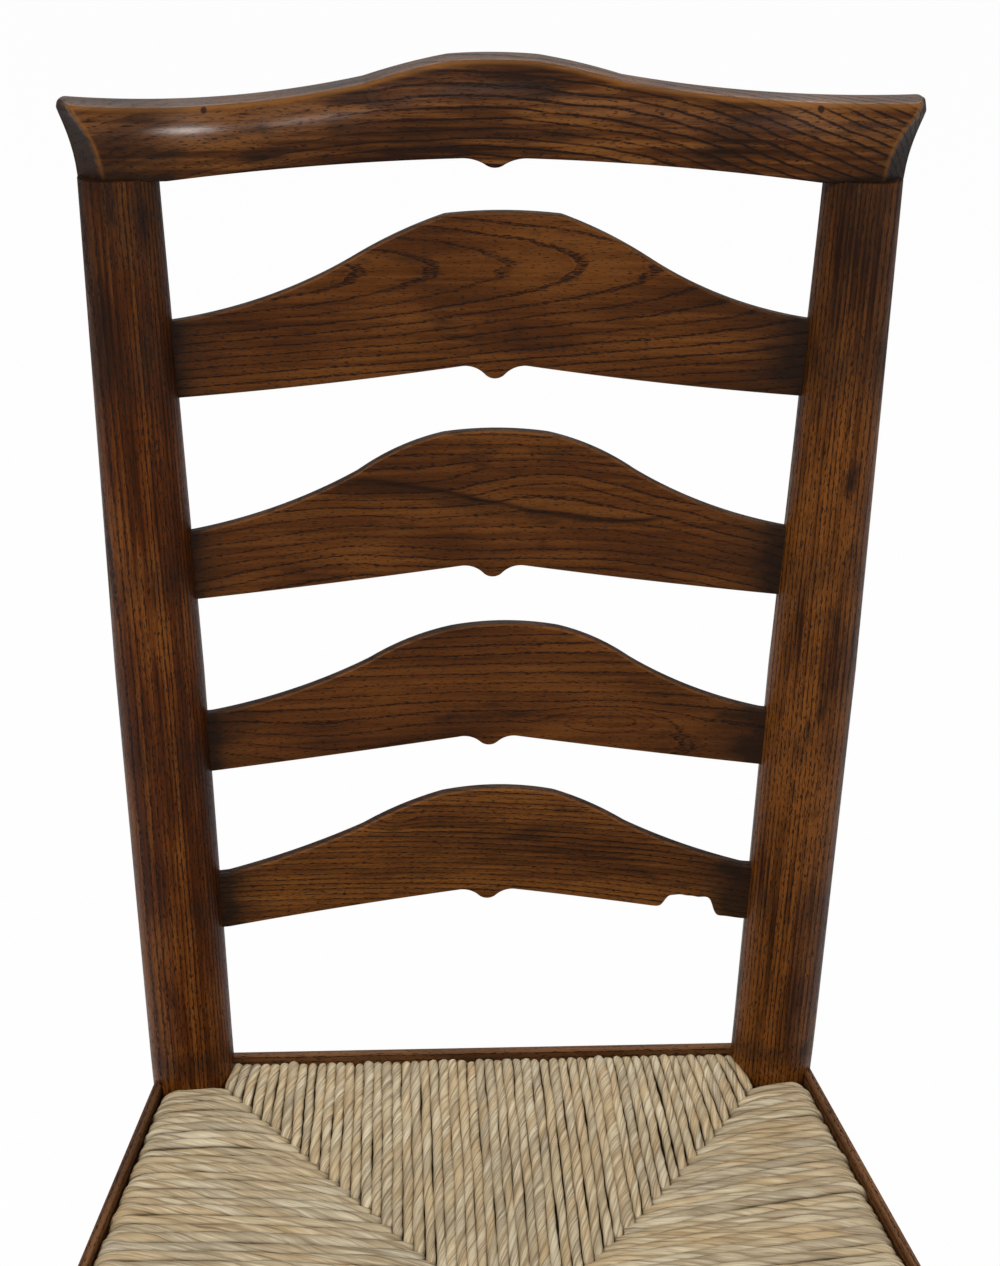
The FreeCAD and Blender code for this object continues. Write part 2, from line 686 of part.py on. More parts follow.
for word in SIDES:
    let_in("%s_back_post" % word, turned_posts[word], [crest] + slats + [
        bars["back_seat_rail"], bars["%s_seat_rail" % word], stretchers["back_stretcher"],
        stretchers["%s_upper_side_stretcher" % word], stretchers["%s_lower_side_stretcher" % word]])
    let_in("%s_front_leg" % word, turned_legs[word], [
        bars["front_seat_rail"], bars["%s_seat_rail" % word], stretchers["front_stretcher"],
        stretchers["%s_upper_side_stretcher" % word], stretchers["%s_lower_side_stretcher" % word]])

both_posts = list(turned_posts.values())
for word, side in SIDES.items():
    let_in("%s_edge_strip" % word, side_strip(side, "%s_strip_slip" % word), both_posts)
finished("front_edge_strip", cross_strip("front_strip_slip", half_front, -front, of("strip_thickness") - front))
let_in("back_edge_strip", cross_strip("back_strip_slip", spread - 8, of("seat_back") - of("strip_thickness"),
                                      of("seat_back")), both_posts)
let_in("rush_seat", rush_pad(), both_posts + list(turned_legs.values()) + list(bars.values()))

doc.recompute()

# Every piece is checked before any file is written

for thing in doc.Objects:
    for state in ("Invalid", "Error"):
        if state in thing.State:
            raise RuntimeError("%s is %s" % (thing.Name, state))
for label, thing in NODES.items():
    if thing.Shape.isNull() or not thing.Shape.isValid():
        raise RuntimeError("%s has no valid shape" % label)
    if len(thing.Shape.Solids) != 1:
        raise RuntimeError("%s is %d solids" % (label, len(thing.Shape.Solids)))
for label, thing in NODES.items():
    thing.Shape.exportStep("parts/%s.step" % label)
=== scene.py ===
import logging
import math
from dataclasses import dataclass, field
from enum import Enum

import bpy
import numpy as np
from mathutils import Matrix, Vector


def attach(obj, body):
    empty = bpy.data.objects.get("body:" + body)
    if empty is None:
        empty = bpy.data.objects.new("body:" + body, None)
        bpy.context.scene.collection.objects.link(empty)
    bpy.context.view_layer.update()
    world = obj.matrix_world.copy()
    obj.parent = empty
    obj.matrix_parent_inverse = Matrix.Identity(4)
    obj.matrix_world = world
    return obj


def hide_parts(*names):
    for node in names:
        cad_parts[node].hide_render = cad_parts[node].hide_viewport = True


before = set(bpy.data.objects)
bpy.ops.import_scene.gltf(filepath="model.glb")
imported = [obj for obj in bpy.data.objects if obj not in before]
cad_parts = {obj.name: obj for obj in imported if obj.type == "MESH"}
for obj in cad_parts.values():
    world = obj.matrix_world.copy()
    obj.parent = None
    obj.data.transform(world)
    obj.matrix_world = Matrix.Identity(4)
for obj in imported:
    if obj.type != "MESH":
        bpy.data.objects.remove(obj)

# A ladderback chair with a rush seat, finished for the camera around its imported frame.
# Row frame, metres: +X is the photograph's right, +Y runs to the chair's back, +Z is up.
# Sizes of pieces are in millimetres; lengths in finishes, lamps and the floor are in metres.

log = logging.getLogger("ladderback")
MM = 0.001
WHITE = (1.0, 1.0, 1.0, 1.0)
Colour = tuple[float, float, float, float]
Rows = tuple[tuple[float, ...], ...]


def stand(name: str, data: bpy.types.ID) -> bpy.types.Object:
    """Puts a new object into the scene."""
    thing = bpy.data.objects.new(name, data)
    bpy.context.scene.collection.objects.link(thing)
    return thing


# ---------------------------------------------------------------- shader maths

class Value:
    """A number that varies over a surface: one node socket with arithmetic on it."""

    def __init__(self, graph: "Graph", socket: bpy.types.NodeSocket) -> None:
        """Wraps a socket of one graph."""
        self.graph = graph
        self.socket = socket

    def maths(self, operation: str, *others: "Value | float", clamp: bool = False) -> "Value":
        """One Math node on this value and others; clamp keeps the result within 0 to 1."""
        return self.graph.maths(operation, self, *others, clamp=clamp)

    def __add__(self, other: "Value | float") -> "Value":
        """Sum."""
        return self.maths("ADD", other)

    def __sub__(self, other: "Value | float") -> "Value":
        """Difference."""
        return self.maths("SUBTRACT", other)

    def __rsub__(self, other: float) -> "Value":
        """Difference, number first."""
        return self.graph.maths("SUBTRACT", other, self)

    def __mul__(self, other: "Value | float") -> "Value":
        """Product."""
        return self.maths("MULTIPLY", other)

    def __truediv__(self, other: "Value | float") -> "Value":
        """Quotient."""
        return self.maths("DIVIDE", other)

    def step(self, low: float, high: float) -> "Value":
        """A smooth step from 0 at low to 1 at high; it falls where high is below low."""
        first, last = (0.0, 1.0) if high > low else (1.0, 0.0)
        made = self.graph.node(
            "ShaderNodeMapRange", {"interpolation_type": "SMOOTHSTEP", "clamp": True},
            {"Value": self, "From Min": min(low, high), "From Max": max(low, high), "To Min": first, "To Max": last})
        return Value(self.graph, made.outputs["Result"])

    def root(self) -> "Value":
        """Square root."""
        return self.maths("SQRT")

    def part(self) -> "Value":
        """The part after the decimal point."""
        return self.maths("FRACT")

    def whole(self) -> "Value":
        """The whole number below."""
        return self.maths("FLOOR")

    def limited(self) -> "Value":
        """The value kept within 0 to 1."""
        return self.maths("ADD", 0.0, clamp=True)


class Graph:
    """The node tree of a material or of the world, built from expressions."""

    def __init__(self, owner: bpy.types.Material | bpy.types.World) -> None:
        """Starts an empty tree in its owner."""
        owner.use_nodes = True
        self.owner = owner
        self.tree = owner.node_tree
        self.tree.nodes.clear()

    def node(self, kind: str, settings: dict | None = None, inputs: dict | None = None) -> bpy.types.Node:
        """Adds one node.

        Args:
            kind: the node's type name.
            settings: its properties, set before its sockets.
            inputs: values or links by socket name or number.

        Returns:
            The node.
        """
        made = self.tree.nodes.new(kind)
        for key, setting in (settings or {}).items():
            setattr(made, key, setting)
        for key, given in (inputs or {}).items():
            given = given.socket if isinstance(given, Value) else given
            if isinstance(given, bpy.types.NodeSocket):
                self.tree.links.new(given, made.inputs[key])
            else:
                made.inputs[key].default_value = given
        return made

    def maths(self, operation: str, *terms: Value | float, clamp: bool = False) -> Value:
        """One Math node on values or numbers."""
        made = self.node("ShaderNodeMath", {"operation": operation, "use_clamp": clamp}, dict(enumerate(terms)))
        return Value(self, made.outputs[0])

    def noise(self, x: Value, y: Value, z: Value, detail: float = 2.0, rough: float = 0.5) -> Value:
        """A noise value from 0 to 1 around one half."""
        where = self.node("ShaderNodeCombineXYZ", {}, {0: x, 1: y, 2: z}).outputs[0]
        made = self.node("ShaderNodeTexNoise", {"noise_dimensions": "3D"},
                         {"Vector": where, "Scale": 1.0, "Detail": detail, "Roughness": rough})
        return Value(self, made.outputs[0])

    def random(self, where: Value, seed: float = 0.0) -> Value:
        """A random number from 0 to 1 for each value."""
        made = self.node("ShaderNodeTexWhiteNoise", {"noise_dimensions": "1D"}, {"W": where + seed})
        return Value(self, made.outputs["Value"])

    def split(self, vector: bpy.types.NodeSocket) -> tuple[Value, Value, Value]:
        """The three numbers of a vector."""
        made = self.node("ShaderNodeSeparateXYZ", {}, {0: vector})
        return tuple(Value(self, made.outputs[index]) for index in range(3))

    def place(self) -> bpy.types.NodeSocket:
        """The object's own coordinates."""
        return self.node("ShaderNodeTexCoord").outputs["Object"]

    def attribute(self, name: str, part: str = "Fac") -> Value:
        """A number, or by its part a vector, stored on the piece's mesh."""
        return Value(self, self.node("ShaderNodeAttribute", {"attribute_name": name}).outputs[part])

    def bell(self, *offsets: Value) -> Value:
        """A soft spot: exp(-a² - b² …) of offsets from its middle, each in its own half width."""
        power = 0.0
        for offset in offsets:
            power = power - offset * offset
        return power.maths("EXPONENT")

    def coats(self, colour: Colour, coats: list[tuple[Value, Colour]]) -> bpy.types.NodeSocket:
        """Lays colours over a first one, each by its share from 0 to 1."""
        for share, tint in coats:
            colour = self.node("ShaderNodeMix", {"data_type": "RGBA", "clamp_factor": True},
                               {0: share, 6: colour, 7: tint}).outputs[2]
        return colour

    def bump(self, height: Value, distance: float, strength: float = 1.0) -> bpy.types.NodeSocket:
        """A bumped normal from a height."""
        inputs = {"Height": height, "Distance": distance, "Strength": strength}
        return self.node("ShaderNodeBump", {}, inputs).outputs[0]

    def seen_as(self, lit: bpy.types.NodeSocket, shown: bpy.types.NodeSocket, share: float) -> bpy.types.NodeSocket:
        """A shader that looks as shown to the camera, by a share, and as lit to all other rays."""
        seen = Value(self, self.node("ShaderNodeLightPath").outputs["Is Camera Ray"])
        return self.node("ShaderNodeMixShader", {}, {0: seen * share, 1: lit, 2: shown}).outputs[0]

    def surface(self, **sockets: object) -> bpy.types.Material:
        """Ends the graph in one Principled shader and returns the material."""
        inputs = {key.replace("_", " "): given for key, given in sockets.items()}
        shader = self.node("ShaderNodeBsdfPrincipled", {}, inputs)
        self.node("ShaderNodeOutputMaterial", {}, {"Surface": shader.outputs[0]})
        return self.owner


def tone(red: int, green: int, blue: int) -> Colour:
    """A colour of 0 to 255 screen steps as the linear colour that a shader takes."""
    return tuple(((step / 255 + 0.055) / 1.055) ** 2.4 if step > 10 else step / 255 / 12.92
                 for step in (red, green, blue)) + (1.0,)


# ---------------------------------------------------------------- finishes

class GrainFrom(Enum):
    """Where a wood finish reads its place in the board."""

    BOARD = "board attribute of a shaped board"
    OBJECT = "object coordinates of a turned piece"


class Layer(Enum):
    """Noise layers of a wood finish: frequencies along and across the grain, and detail."""

    SLOW = (6.0, 16.0, 2.0)
    SIDE = (11.0, 30.0, 2.0)
    RIPPLE = (60.0, 240.0, 1.0)
    DASH = (300.0, 1500.0, 1.0)
    HAIR = (190.0, 1900.0, 1.0)
    STREAK = (13.0, 380.0, 3.0)
    CLOUD = (10.0, 26.0, 3.0)
    BLOT = (34.0, 110.0, 4.0)

    def at(self, spot: tuple[Value, Value, Value], shift: float) -> Value:
        """The layer's value at a spot of the board, shifted along it."""
        along, across, depth = spot
        stretch, fine, detail = self.value
        return along.graph.noise(along * stretch + shift, across * fine, depth * fine, detail)


@dataclass(frozen=True)
class StainedWood:
    """Dark-stained ring-porous wood: growth rings about a log axis, rows of pores, wear and grime.

    Lengths are in metres. A board's grain coordinates are (along, across, depth). The pith lies at
    (across, depth), drifts by a share of the length along, and bends with the square of it. An eye
    is (along, across, length, height, rings); a hole is (along, across, radius); dusk is where the
    stain starts to darken along the length, where it is darkest, and how dark it gets; a smudge is
    (along, width, darkness); blotch is the level above which the fine clouds turn dark. A polished
    spot is (along, across, length, height, strength); calm is where the rings start to fade along
    the length and where they are faint. A vein is a dark line from start to finish along a cubic:
    (start, finish, width, strength, four factors of the powers of along).
    """

    name: str
    grain: GrainFrom = GrainFrom.BOARD
    along: tuple[float, float, float] = (1.0, 0.0, 0.0)
    pith: tuple[float, float] = (0.01, -0.03)
    drift: tuple[float, float] = (0.0, 0.10)
    arch: float = 0.0
    ring: float = 0.0046
    wander: float = 0.006
    eyes: Rows = ()
    holes: Rows = ()
    seed: float = 0.0
    early: float = 0.24
    rows: float = 0.5
    scatter: float = 0.62
    dusk: tuple[float, float, float] = (9.0, 10.0, 0.0)
    smudges: Rows = ()
    blotch: float = 0.60
    contrast: float = 1.0
    dark: Colour = tone(46, 22, 7)
    middle: Colour = tone(80, 43, 13)
    light: Colour = tone(106, 63, 24)
    pore: Colour = tone(24, 11, 5)
    honey: Colour = tone(142, 92, 42)
    soot: Colour = tone(22, 14, 9)
    gloss: float = 0.34
    shine: float = 0.10
    coat_rough: float = 0.2
    polish: Rows = ()
    veins: Rows = ()
    calm: tuple[float, float] = (-9.0, -10.0)

    def place(self, graph: Graph) -> bpy.types.NodeSocket:
        """The grain coordinates, with the log's length along X."""
        if self.grain is GrainFrom.BOARD:
            return graph.attribute("board", "Vector").socket
        turn = Vector(self.along).rotation_difference(Vector((1.0, 0.0, 0.0))).to_euler()
        return graph.node("ShaderNodeMapping", {"vector_type": "POINT"},
                          {"Vector": graph.place(), "Rotation": tuple(turn)}).outputs[0]

    def rings(self, graph: Graph, spot: tuple[Value, Value, Value]) -> Value:
        """Ring number: the distance from the wandering pith over the ring width, bulged at the eyes."""
        along, across, depth = spot
        slow, side = Layer.SLOW.at(spot, self.seed), Layer.SIDE.at(spot, self.seed + 7.3)
        a = across + along * self.drift[0] + along * along * self.arch - self.pith[0]
        b = depth + along * self.drift[1] - self.pith[1]
        a = a + (slow - 0.5) * self.wander + (side - 0.5) * self.wander * 0.35
        number = (a * a + b * b).root() / self.ring
        for x, y, long, high, count in self.eyes:
            number = number + graph.bell((along - x) / long, (across - y) / high) * count
        return number + (Layer.RIPPLE.at(spot, self.seed) - 0.5) * 0.32

    def make(self) -> bpy.types.Material:
        """Builds the material.

        Returns:
            The material. Pores are long thin noise cut at a level that falls in the narrow band where
            each ring starts, so they stand in rows; clouds and streaks of stain lie between.
        """
        graph = Graph(bpy.data.materials.new(self.name))
        spot = graph.split(self.place(graph))
        along, across, _ = spot
        rings = self.rings(graph, spot)
        year, within = graph.random(rings.whole(), self.seed), rings.part()
        width = year * 0.12 + self.early
        row = within.step(0.0, 0.05) * (1.0 - (within - width * 0.5).step(0.0, 0.13)) * (year * 0.5 + 0.6)
        row = row * (1.0 - along.step(*self.calm) * 0.7)
        dash, hair = Layer.DASH.at(spot, self.seed), Layer.HAIR.at(spot, -self.seed)
        fine = (hair - row * 0.05).step(self.scatter, self.scatter + 0.10) * 0.5
        pores = ((dash + row * 0.19).step(0.60, 0.70) + fine).limited()
        streak, blot = Layer.STREAK.at(spot, self.seed), Layer.BLOT.at(spot, self.seed)
        cloud = Layer.CLOUD.at(spot, self.seed * 2.0)
        lively = (cloud - 0.5) * 1.7 + (streak - 0.5) * 1.1 + (year - 0.5) * 0.22 - row * self.rows * 0.6
        stain = (lively * self.contrast + (1.0 - within.step(0.62, 1.0)) * 0.10 + 0.50).limited()
        rub = (graph.attribute("worn") * (cloud * 0.9 + streak * 0.7 + 0.10)).limited()
        begin, end, gloom = self.dusk
        joint = graph.attribute("joint") + along.step(begin, end) * gloom
        for centre, wide, strength in self.smudges:
            joint = joint + graph.bell((along - centre) / wide) * strength
        grime = (joint * 2.3 * (blot * 1.2 + streak * 0.6 - 0.1) - 0.14).limited()
        coats = [(stain * 1.6, self.middle), ((stain - 0.55) * 1.6, self.light),
                 ((blot - self.blotch) * 4.0, self.soot), (pores * 0.85, self.pore),
                 (rub * 0.8, self.honey), (grime * 0.85, self.soot)]
        for start, finish, wide, strength, level, first, second, third in self.veins:
            line = ((along * third + second) * along + first) * along + level
            far = (across - line + (blot - 0.5) * wide * 3.0) / wide
            shown = along.step(start, start + 0.015) * along.step(finish, finish - 0.03)
            vein = graph.bell(far) * shown * (streak * 1.2 + blot * 0.6) * strength
            coats.append((vein.limited(), self.pore))
        for x, y, radius in self.holes:
            far_x, far_y = along - x, across - y
            hole = (far_x * far_x + far_y * far_y).root().step(radius * 1.3, radius * 0.7)
            coats.append((hole * 0.9, self.pore))
        shiny = 0.0
        for x, y, long, high, strength in self.polish:
            shiny = graph.bell((along - x) / long, (across - y) / high) * (streak * 0.6 + 0.7) * strength + shiny
        height = streak * 0.25 - pores * 0.9 - row * 0.15 + cloud * 0.3
        dull = pores * 0.2 + (streak - 0.5) * 0.22 + (blot - 0.5) * 0.2 + grime * 0.15 - rub * 0.05 + self.gloss
        return graph.surface(Base_Color=graph.coats(self.dark, coats), Roughness=dull.limited(),
                             Normal=graph.bump(height, 0.00018, 0.6), Specular_IOR_Level=self.shine,
                             Coat_Weight=shiny, Coat_Roughness=self.coat_rough)


@dataclass(frozen=True)
class DryRush:
    """Twisted rush leaves: helical leaf bands with their own tones and fine fibres, with painted shade along the
    leaf seams, in the gaps between strands, under them and at their diving ends.
    """

    name: str
    straw: Colour = tone(190, 167, 128)
    grey: Colour = tone(160, 146, 120)
    gold: Colour = tone(188, 156, 108)
    pale: Colour = tone(222, 209, 178)
    brown: Colour = tone(122, 98, 66)
    seam_shade: Colour = tone(104, 86, 60)
    gap_shade: Colour = tone(70, 56, 40)
    leaves: float = 3.0

    def make(self) -> bpy.types.Material:
        """Builds the material.

        Returns:
            The material. The strand map holds the turn round the strand, with its twist, and the
            metres along it; the turn gives the leaf, and noise stretched along it gives its fibres.
        """
        graph = Graph(bpy.data.materials.new(self.name))
        turn, length, _ = graph.split(graph.node("ShaderNodeUVMap", {"uv_map": "strand"}).outputs[0])
        # The second attribute is painted shade: the gaps between strands, their undersides and their ends where they
        # dive at the mitre.
        own, painted_shade = graph.attribute("tone"), graph.attribute("painted_shade")
        sway = graph.noise(turn * 2.0, length * 30.0, own * 71.0, 1.0)
        helix = turn * self.leaves + own * 37.0 + (sway - 0.5) * 0.9
        band = helix.whole()
        leaf, kind = graph.random(band + own * 991.0), graph.random(band + own * 613.0, 0.37)
        age = graph.noise(helix * 0.4, length * 14.0, own * 53.0 + 9.0)
        fibre = graph.noise(helix * 2.6, length * 22.0, own * 17.0, 3.0, 0.7)
        hair = graph.noise(helix * 6.5, length * 40.0, own * 29.0, 2.0, 0.6)
        # The seam marks the creases between twisted leaves: painted shade darkens them there, and the bump sinks
        # them.
        seam = (helix.part() - 0.5).maths("ABSOLUTE").step(0.38, 0.5)
        colour = graph.coats(self.grey, [
            (leaf * 0.7 + (own - 0.5) * 0.5 + (age - 0.5) * 1.4 + 0.15, self.straw),
            (kind.step(0.62, 0.9) * 0.45, self.gold), (kind.step(0.24, 0.04) * 0.45, self.pale),
            (((fibre - 0.53) * 7.0).limited() * 0.65, self.pale),
            (((0.47 - fibre) * 7.0).limited() * 0.55, self.brown),
            (((0.46 - hair) * 8.0).limited() * 0.55, self.brown),
            (((hair - 0.56) * 7.0).limited() * 0.5, self.pale),
            # Both coats on the next line are painted shade: in the leaf seams, and in the gaps, undersides and
            # diving ends.
            (seam * 0.4, self.seam_shade), (painted_shade, self.gap_shade)])
        height = fibre * 0.5 + hair * 0.35 - seam * 0.8
        return graph.surface(Base_Color=colour, Roughness=(fibre * 0.25 + 0.46).limited(),
                             Normal=graph.bump(height, 0.0005, 0.8), IOR=1.45)


@dataclass(frozen=True)
class Mottled:
    """A finish of two tones mixed by one noise; size holds its frequencies, lift its lighter share."""

    name: str
    dark: Colour
    light: Colour
    size: tuple[float, float, float]
    lift: float
    rough: float
    rough_range: float
    relief: float
    metal: float = 0.0

    def make(self) -> bpy.types.Material:
        """Builds the material."""
        graph = Graph(bpy.data.materials.new(self.name))
        x, y, z = (part * size for part, size in zip(graph.split(graph.place()), self.size))
        mottle = graph.noise(x, y, z, 3.0)
        colour = graph.coats(self.dark, [((mottle - 0.5) * 3.0 + self.lift, self.light)])
        return graph.surface(Base_Color=colour, Metallic=self.metal, Normal=graph.bump(mottle, self.relief),
                             Roughness=(mottle * self.rough_range + self.rough).limited())


@dataclass(frozen=True)
class StudioFloor:
    """A matt white floor that shows plain white to the camera and still takes a faint shadow."""

    name: str
    matt: Colour = (0.62, 0.62, 0.62, 1.0)
    glow: float = 0.975

    def make(self) -> bpy.types.Material:
        """Builds the material."""
        graph = Graph(bpy.data.materials.new(self.name))
        matt = graph.node("ShaderNodeBsdfDiffuse", {}, {"Color": self.matt}).outputs[0]
        white = graph.node("ShaderNodeEmission", {}, {"Color": WHITE, "Strength": 1.0}).outputs[0]
        graph.node("ShaderNodeOutputMaterial", {}, {"Surface": graph.seen_as(matt, white, self.glow)})
        return graph.owner


# ---------------------------------------------------------------- meshes from arrays

@dataclass
class Tubes:
    """Closed tubes on a grid of points (tube, ring, place round the ring, xyz), in metres.

    values are numbers or vectors at the grid's points. run is the metres along each tube at each ring
    and spin the turns that its strand has twisted by there; both give the strand map.
    """

    name: str
    grid: np.ndarray
    values: dict[str, np.ndarray] = field(default_factory=dict)
    run: np.ndarray | None = None
    spin: np.ndarray | None = None

    def tipped(self, given: np.ndarray) -> np.ndarray:
        """The grid's numbers in one row for each tube, followed by the mean of each end ring."""
        flat = given.reshape((given.shape[0], -1) + given.shape[3:])
        return np.concatenate([flat, given[:, [0, -1]].mean(axis=2)], axis=1)

    def faces(self, points: np.ndarray) -> tuple[np.ndarray, np.ndarray, np.ndarray]:
        """Joins neighbouring rings by quads and closes each end by a fan about the ring's middle.

        A tube whose volume comes out negative has its faces turned over.

        Args:
            points: each tube's points with its two end middles.

        Returns:
            Quads, fans and which tubes are turned over.
        """
        tubes, rings, around, _ = self.grid.shape
        edge = np.arange(around)
        after = (edge + 1) % around
        start = np.arange(rings - 1)[:, None] * around
        here, there = start + edge, start + after
        quad = np.stack([here, there, there + around, here + around], axis=-1).reshape(-1, 4)
        tip, last = 0 * edge + rings * around, (rings - 1) * around
        fan = np.concatenate([np.stack([tip, after, edge], axis=-1),
                              np.stack([tip + 1, last + edge, last + after], axis=-1)])
        corners = points[:, quad]
        normal = np.cross(corners[:, :, 2] - corners[:, :, 0], corners[:, :, 3] - corners[:, :, 1])
        outward = (corners.mean(axis=2) - points.mean(axis=1)[:, None]) * normal
        turned = outward.sum(axis=(1, 2)) <= 0
        base = (np.arange(tubes) * points.shape[1])[:, None, None]
        quads, fans = quad + base, fan + base
        for given in (quads, fans):
            given[turned] = given[turned][:, :, ::-1]
        return quads, fans, turned

    def strand_map(self, turned: np.ndarray) -> np.ndarray:
        """(turn round the ring with its twist, metres along) at each quad's corners; 0 at the fans."""
        tubes, _, around, _ = self.grid.shape
        left = np.arange(around) / around
        right = (np.arange(around) + 1) / around
        near, far = slice(0, -1), slice(1, None)
        corners = np.stack([
            np.stack(np.broadcast_arrays(side + self.spin[:, ring, None], self.run[:, ring, None]), axis=-1)
            for side, ring in ((left, near), (right, near), (right, far), (left, far))], axis=-2)
        corners = corners.reshape(tubes, -1, 4, 2)
        corners[turned] = corners[turned][:, :, ::-1]
        return np.concatenate([corners.ravel(), np.zeros(tubes * around * 2 * 3 * 2)])

    def build(self) -> bpy.types.Object:
        """Makes the object, smooth-shaded, with its values as point attributes."""
        points = self.tipped(self.grid)
        quads, fans, turned = self.faces(points)
        corners = np.concatenate([quads.ravel(), fans.ravel()])
        starts = np.concatenate([np.arange(0, quads.size, 4), np.arange(quads.size, corners.size, 3)])
        mesh = bpy.data.meshes.new(self.name)
        mesh.vertices.add(points.size // 3)
        mesh.vertices.foreach_set("co", points.astype(np.float32).ravel())
        mesh.loops.add(corners.size)
        mesh.loops.foreach_set("vertex_index", corners.astype(np.int32))
        mesh.polygons.add(starts.size)
        mesh.polygons.foreach_set("loop_start", starts.astype(np.int32))
        mesh.update(calc_edges=True)
        mesh.polygons.foreach_set("use_smooth", np.ones(starts.size, bool))
        for key, given in self.values.items():
            kind, slot = ("FLOAT_VECTOR", "vector") if given.ndim == 4 else ("FLOAT", "value")
            numbers = self.tipped(given).astype(np.float32).ravel()
            mesh.attributes.new(key, kind, "POINT").data.foreach_set(slot, numbers)
        if self.run is not None:
            turns = self.strand_map(turned).astype(np.float32)
            mesh.uv_layers.new(name="strand").data.foreach_set("uv", turns)
        mesh.validate()
        return stand(self.name, mesh)


class Run:
    """One line through corners (x, height, bulge) as straight or round runs, read as height at x.

    A run's bulge is the height of its arc over the chord, to the right of the way of travel.
    """

    def __init__(self, *corners: tuple[float, ...]) -> None:
        """Takes the corners from the least x to the greatest."""
        self.corners = [corner if len(corner) == 3 else corner + (0.0,) for corner in corners]

    def at(self, x: np.ndarray) -> np.ndarray:
        """Height at each x: the chord plus, for a round run, the circle through both ends."""
        height = np.full(x.shape, self.corners[0][1], float)
        for (x0, y0, bulge), (x1, y1, _) in zip(self.corners, self.corners[1:]):
            inside = (x >= x0) & (x <= x1)
            line = y0 + (y1 - y0) * (x - x0) / (x1 - x0)
            if bulge:
                chord = math.hypot(x1 - x0, y1 - y0)
                radius = chord * chord / (8 * abs(bulge)) + abs(bulge) / 2
                across = (radius - abs(bulge)) * (1 if bulge > 0 else -1)
                ux, uy = (x1 - x0) / chord, (y1 - y0) / chord
                cx, cy = (x0 + x1) / 2 - uy * across, (y0 + y1) / 2 + ux * across
                rise = np.sqrt(np.maximum(radius * radius - (x - cx) ** 2, 0.0))
                line = cy - np.copysign(rise, bulge)
            height = np.where(inside, line, height)
        return np.where(x > self.corners[-1][0], self.corners[-1][1], height)


# ---------------------------------------------------------------- the chair's plan

@dataclass(frozen=True)
class ChairPlan:
    """The chair's driving sizes in millimetres and degrees, and the board frame of its back."""

    seat: float = 440.0
    setback: float = 141.8
    rake: float = 7.5
    splay: float = 1.873

    def from_back(self, board: np.ndarray) -> np.ndarray:
        """Turns board points (across, up the rake, depth behind) into the row frame in metres.

        y = setback + up sin(rake) + depth cos(rake); z = seat + up cos(rake) - depth sin(rake).
        """
        tilt = math.radians(self.rake)
        across, up, depth = board[..., 0], board[..., 1], board[..., 2]
        return np.stack([across, self.setback + up * math.sin(tilt) + depth * math.cos(tilt),
                         self.seat + up * math.cos(tilt) - depth * math.sin(tilt)], axis=-1) * MM

    def post_axis(self, side: int) -> tuple[float, float, float]:
        """The direction of a back post above the seat."""
        tilt, out = math.radians(self.rake), math.radians(self.splay)
        return side * math.sin(out), math.sin(tilt) * math.cos(out), math.cos(tilt) * math.cos(out)


PLAN = ChairPlan()


def dress(node: str, material: bpy.types.Material) -> None:
    """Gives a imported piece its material."""
    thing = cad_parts[node]
    thing.data.materials.clear()
    thing.data.materials.append(material)


def settle(thing: bpy.types.Object, material: bpy.types.Material, slot: str, *nodes: str) -> bpy.types.Object:
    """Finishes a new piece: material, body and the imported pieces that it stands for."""
    thing.data.materials.append(material)
    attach(thing, "root")
    if nodes:
        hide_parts(*nodes)
    log.info("%s: %d points", thing.name, len(thing.data.vertices))
    return thing


# ---------------------------------------------------------------- the back

def stand_in(node: str, slot: str, finish: StainedWood, bow: np.ndarray, board: tuple[np.ndarray, ...],
             across: np.ndarray, worn: np.ndarray, joint: np.ndarray) -> bpy.types.Object:
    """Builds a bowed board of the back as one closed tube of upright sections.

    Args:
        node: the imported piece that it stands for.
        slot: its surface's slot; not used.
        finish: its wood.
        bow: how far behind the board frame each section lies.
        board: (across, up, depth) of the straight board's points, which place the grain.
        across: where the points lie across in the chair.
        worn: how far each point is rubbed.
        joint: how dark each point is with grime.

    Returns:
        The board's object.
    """
    board = np.stack(np.broadcast_arrays(*board), axis=-1)
    placed = np.stack([np.broadcast_to(across, worn.shape), board[..., 1], board[..., 2] + bow], axis=-1)
    tube = Tubes(node + "_board", PLAN.from_back(placed)[None],
                 {"board": board[None] * MM, "worn": worn[None], "joint": joint[None]})
    return settle(tube.build(), finish.make(), slot, node)


def bow_depth(x: np.ndarray, reach: float, bow: float) -> np.ndarray:
    """Depth of a bowed board's middle surface at x: a circle through 0 at both ends and bow in the middle."""
    bend = (reach * reach + bow * bow) / (2 * bow)
    return bow - bend + np.sqrt(bend * bend - x * x)


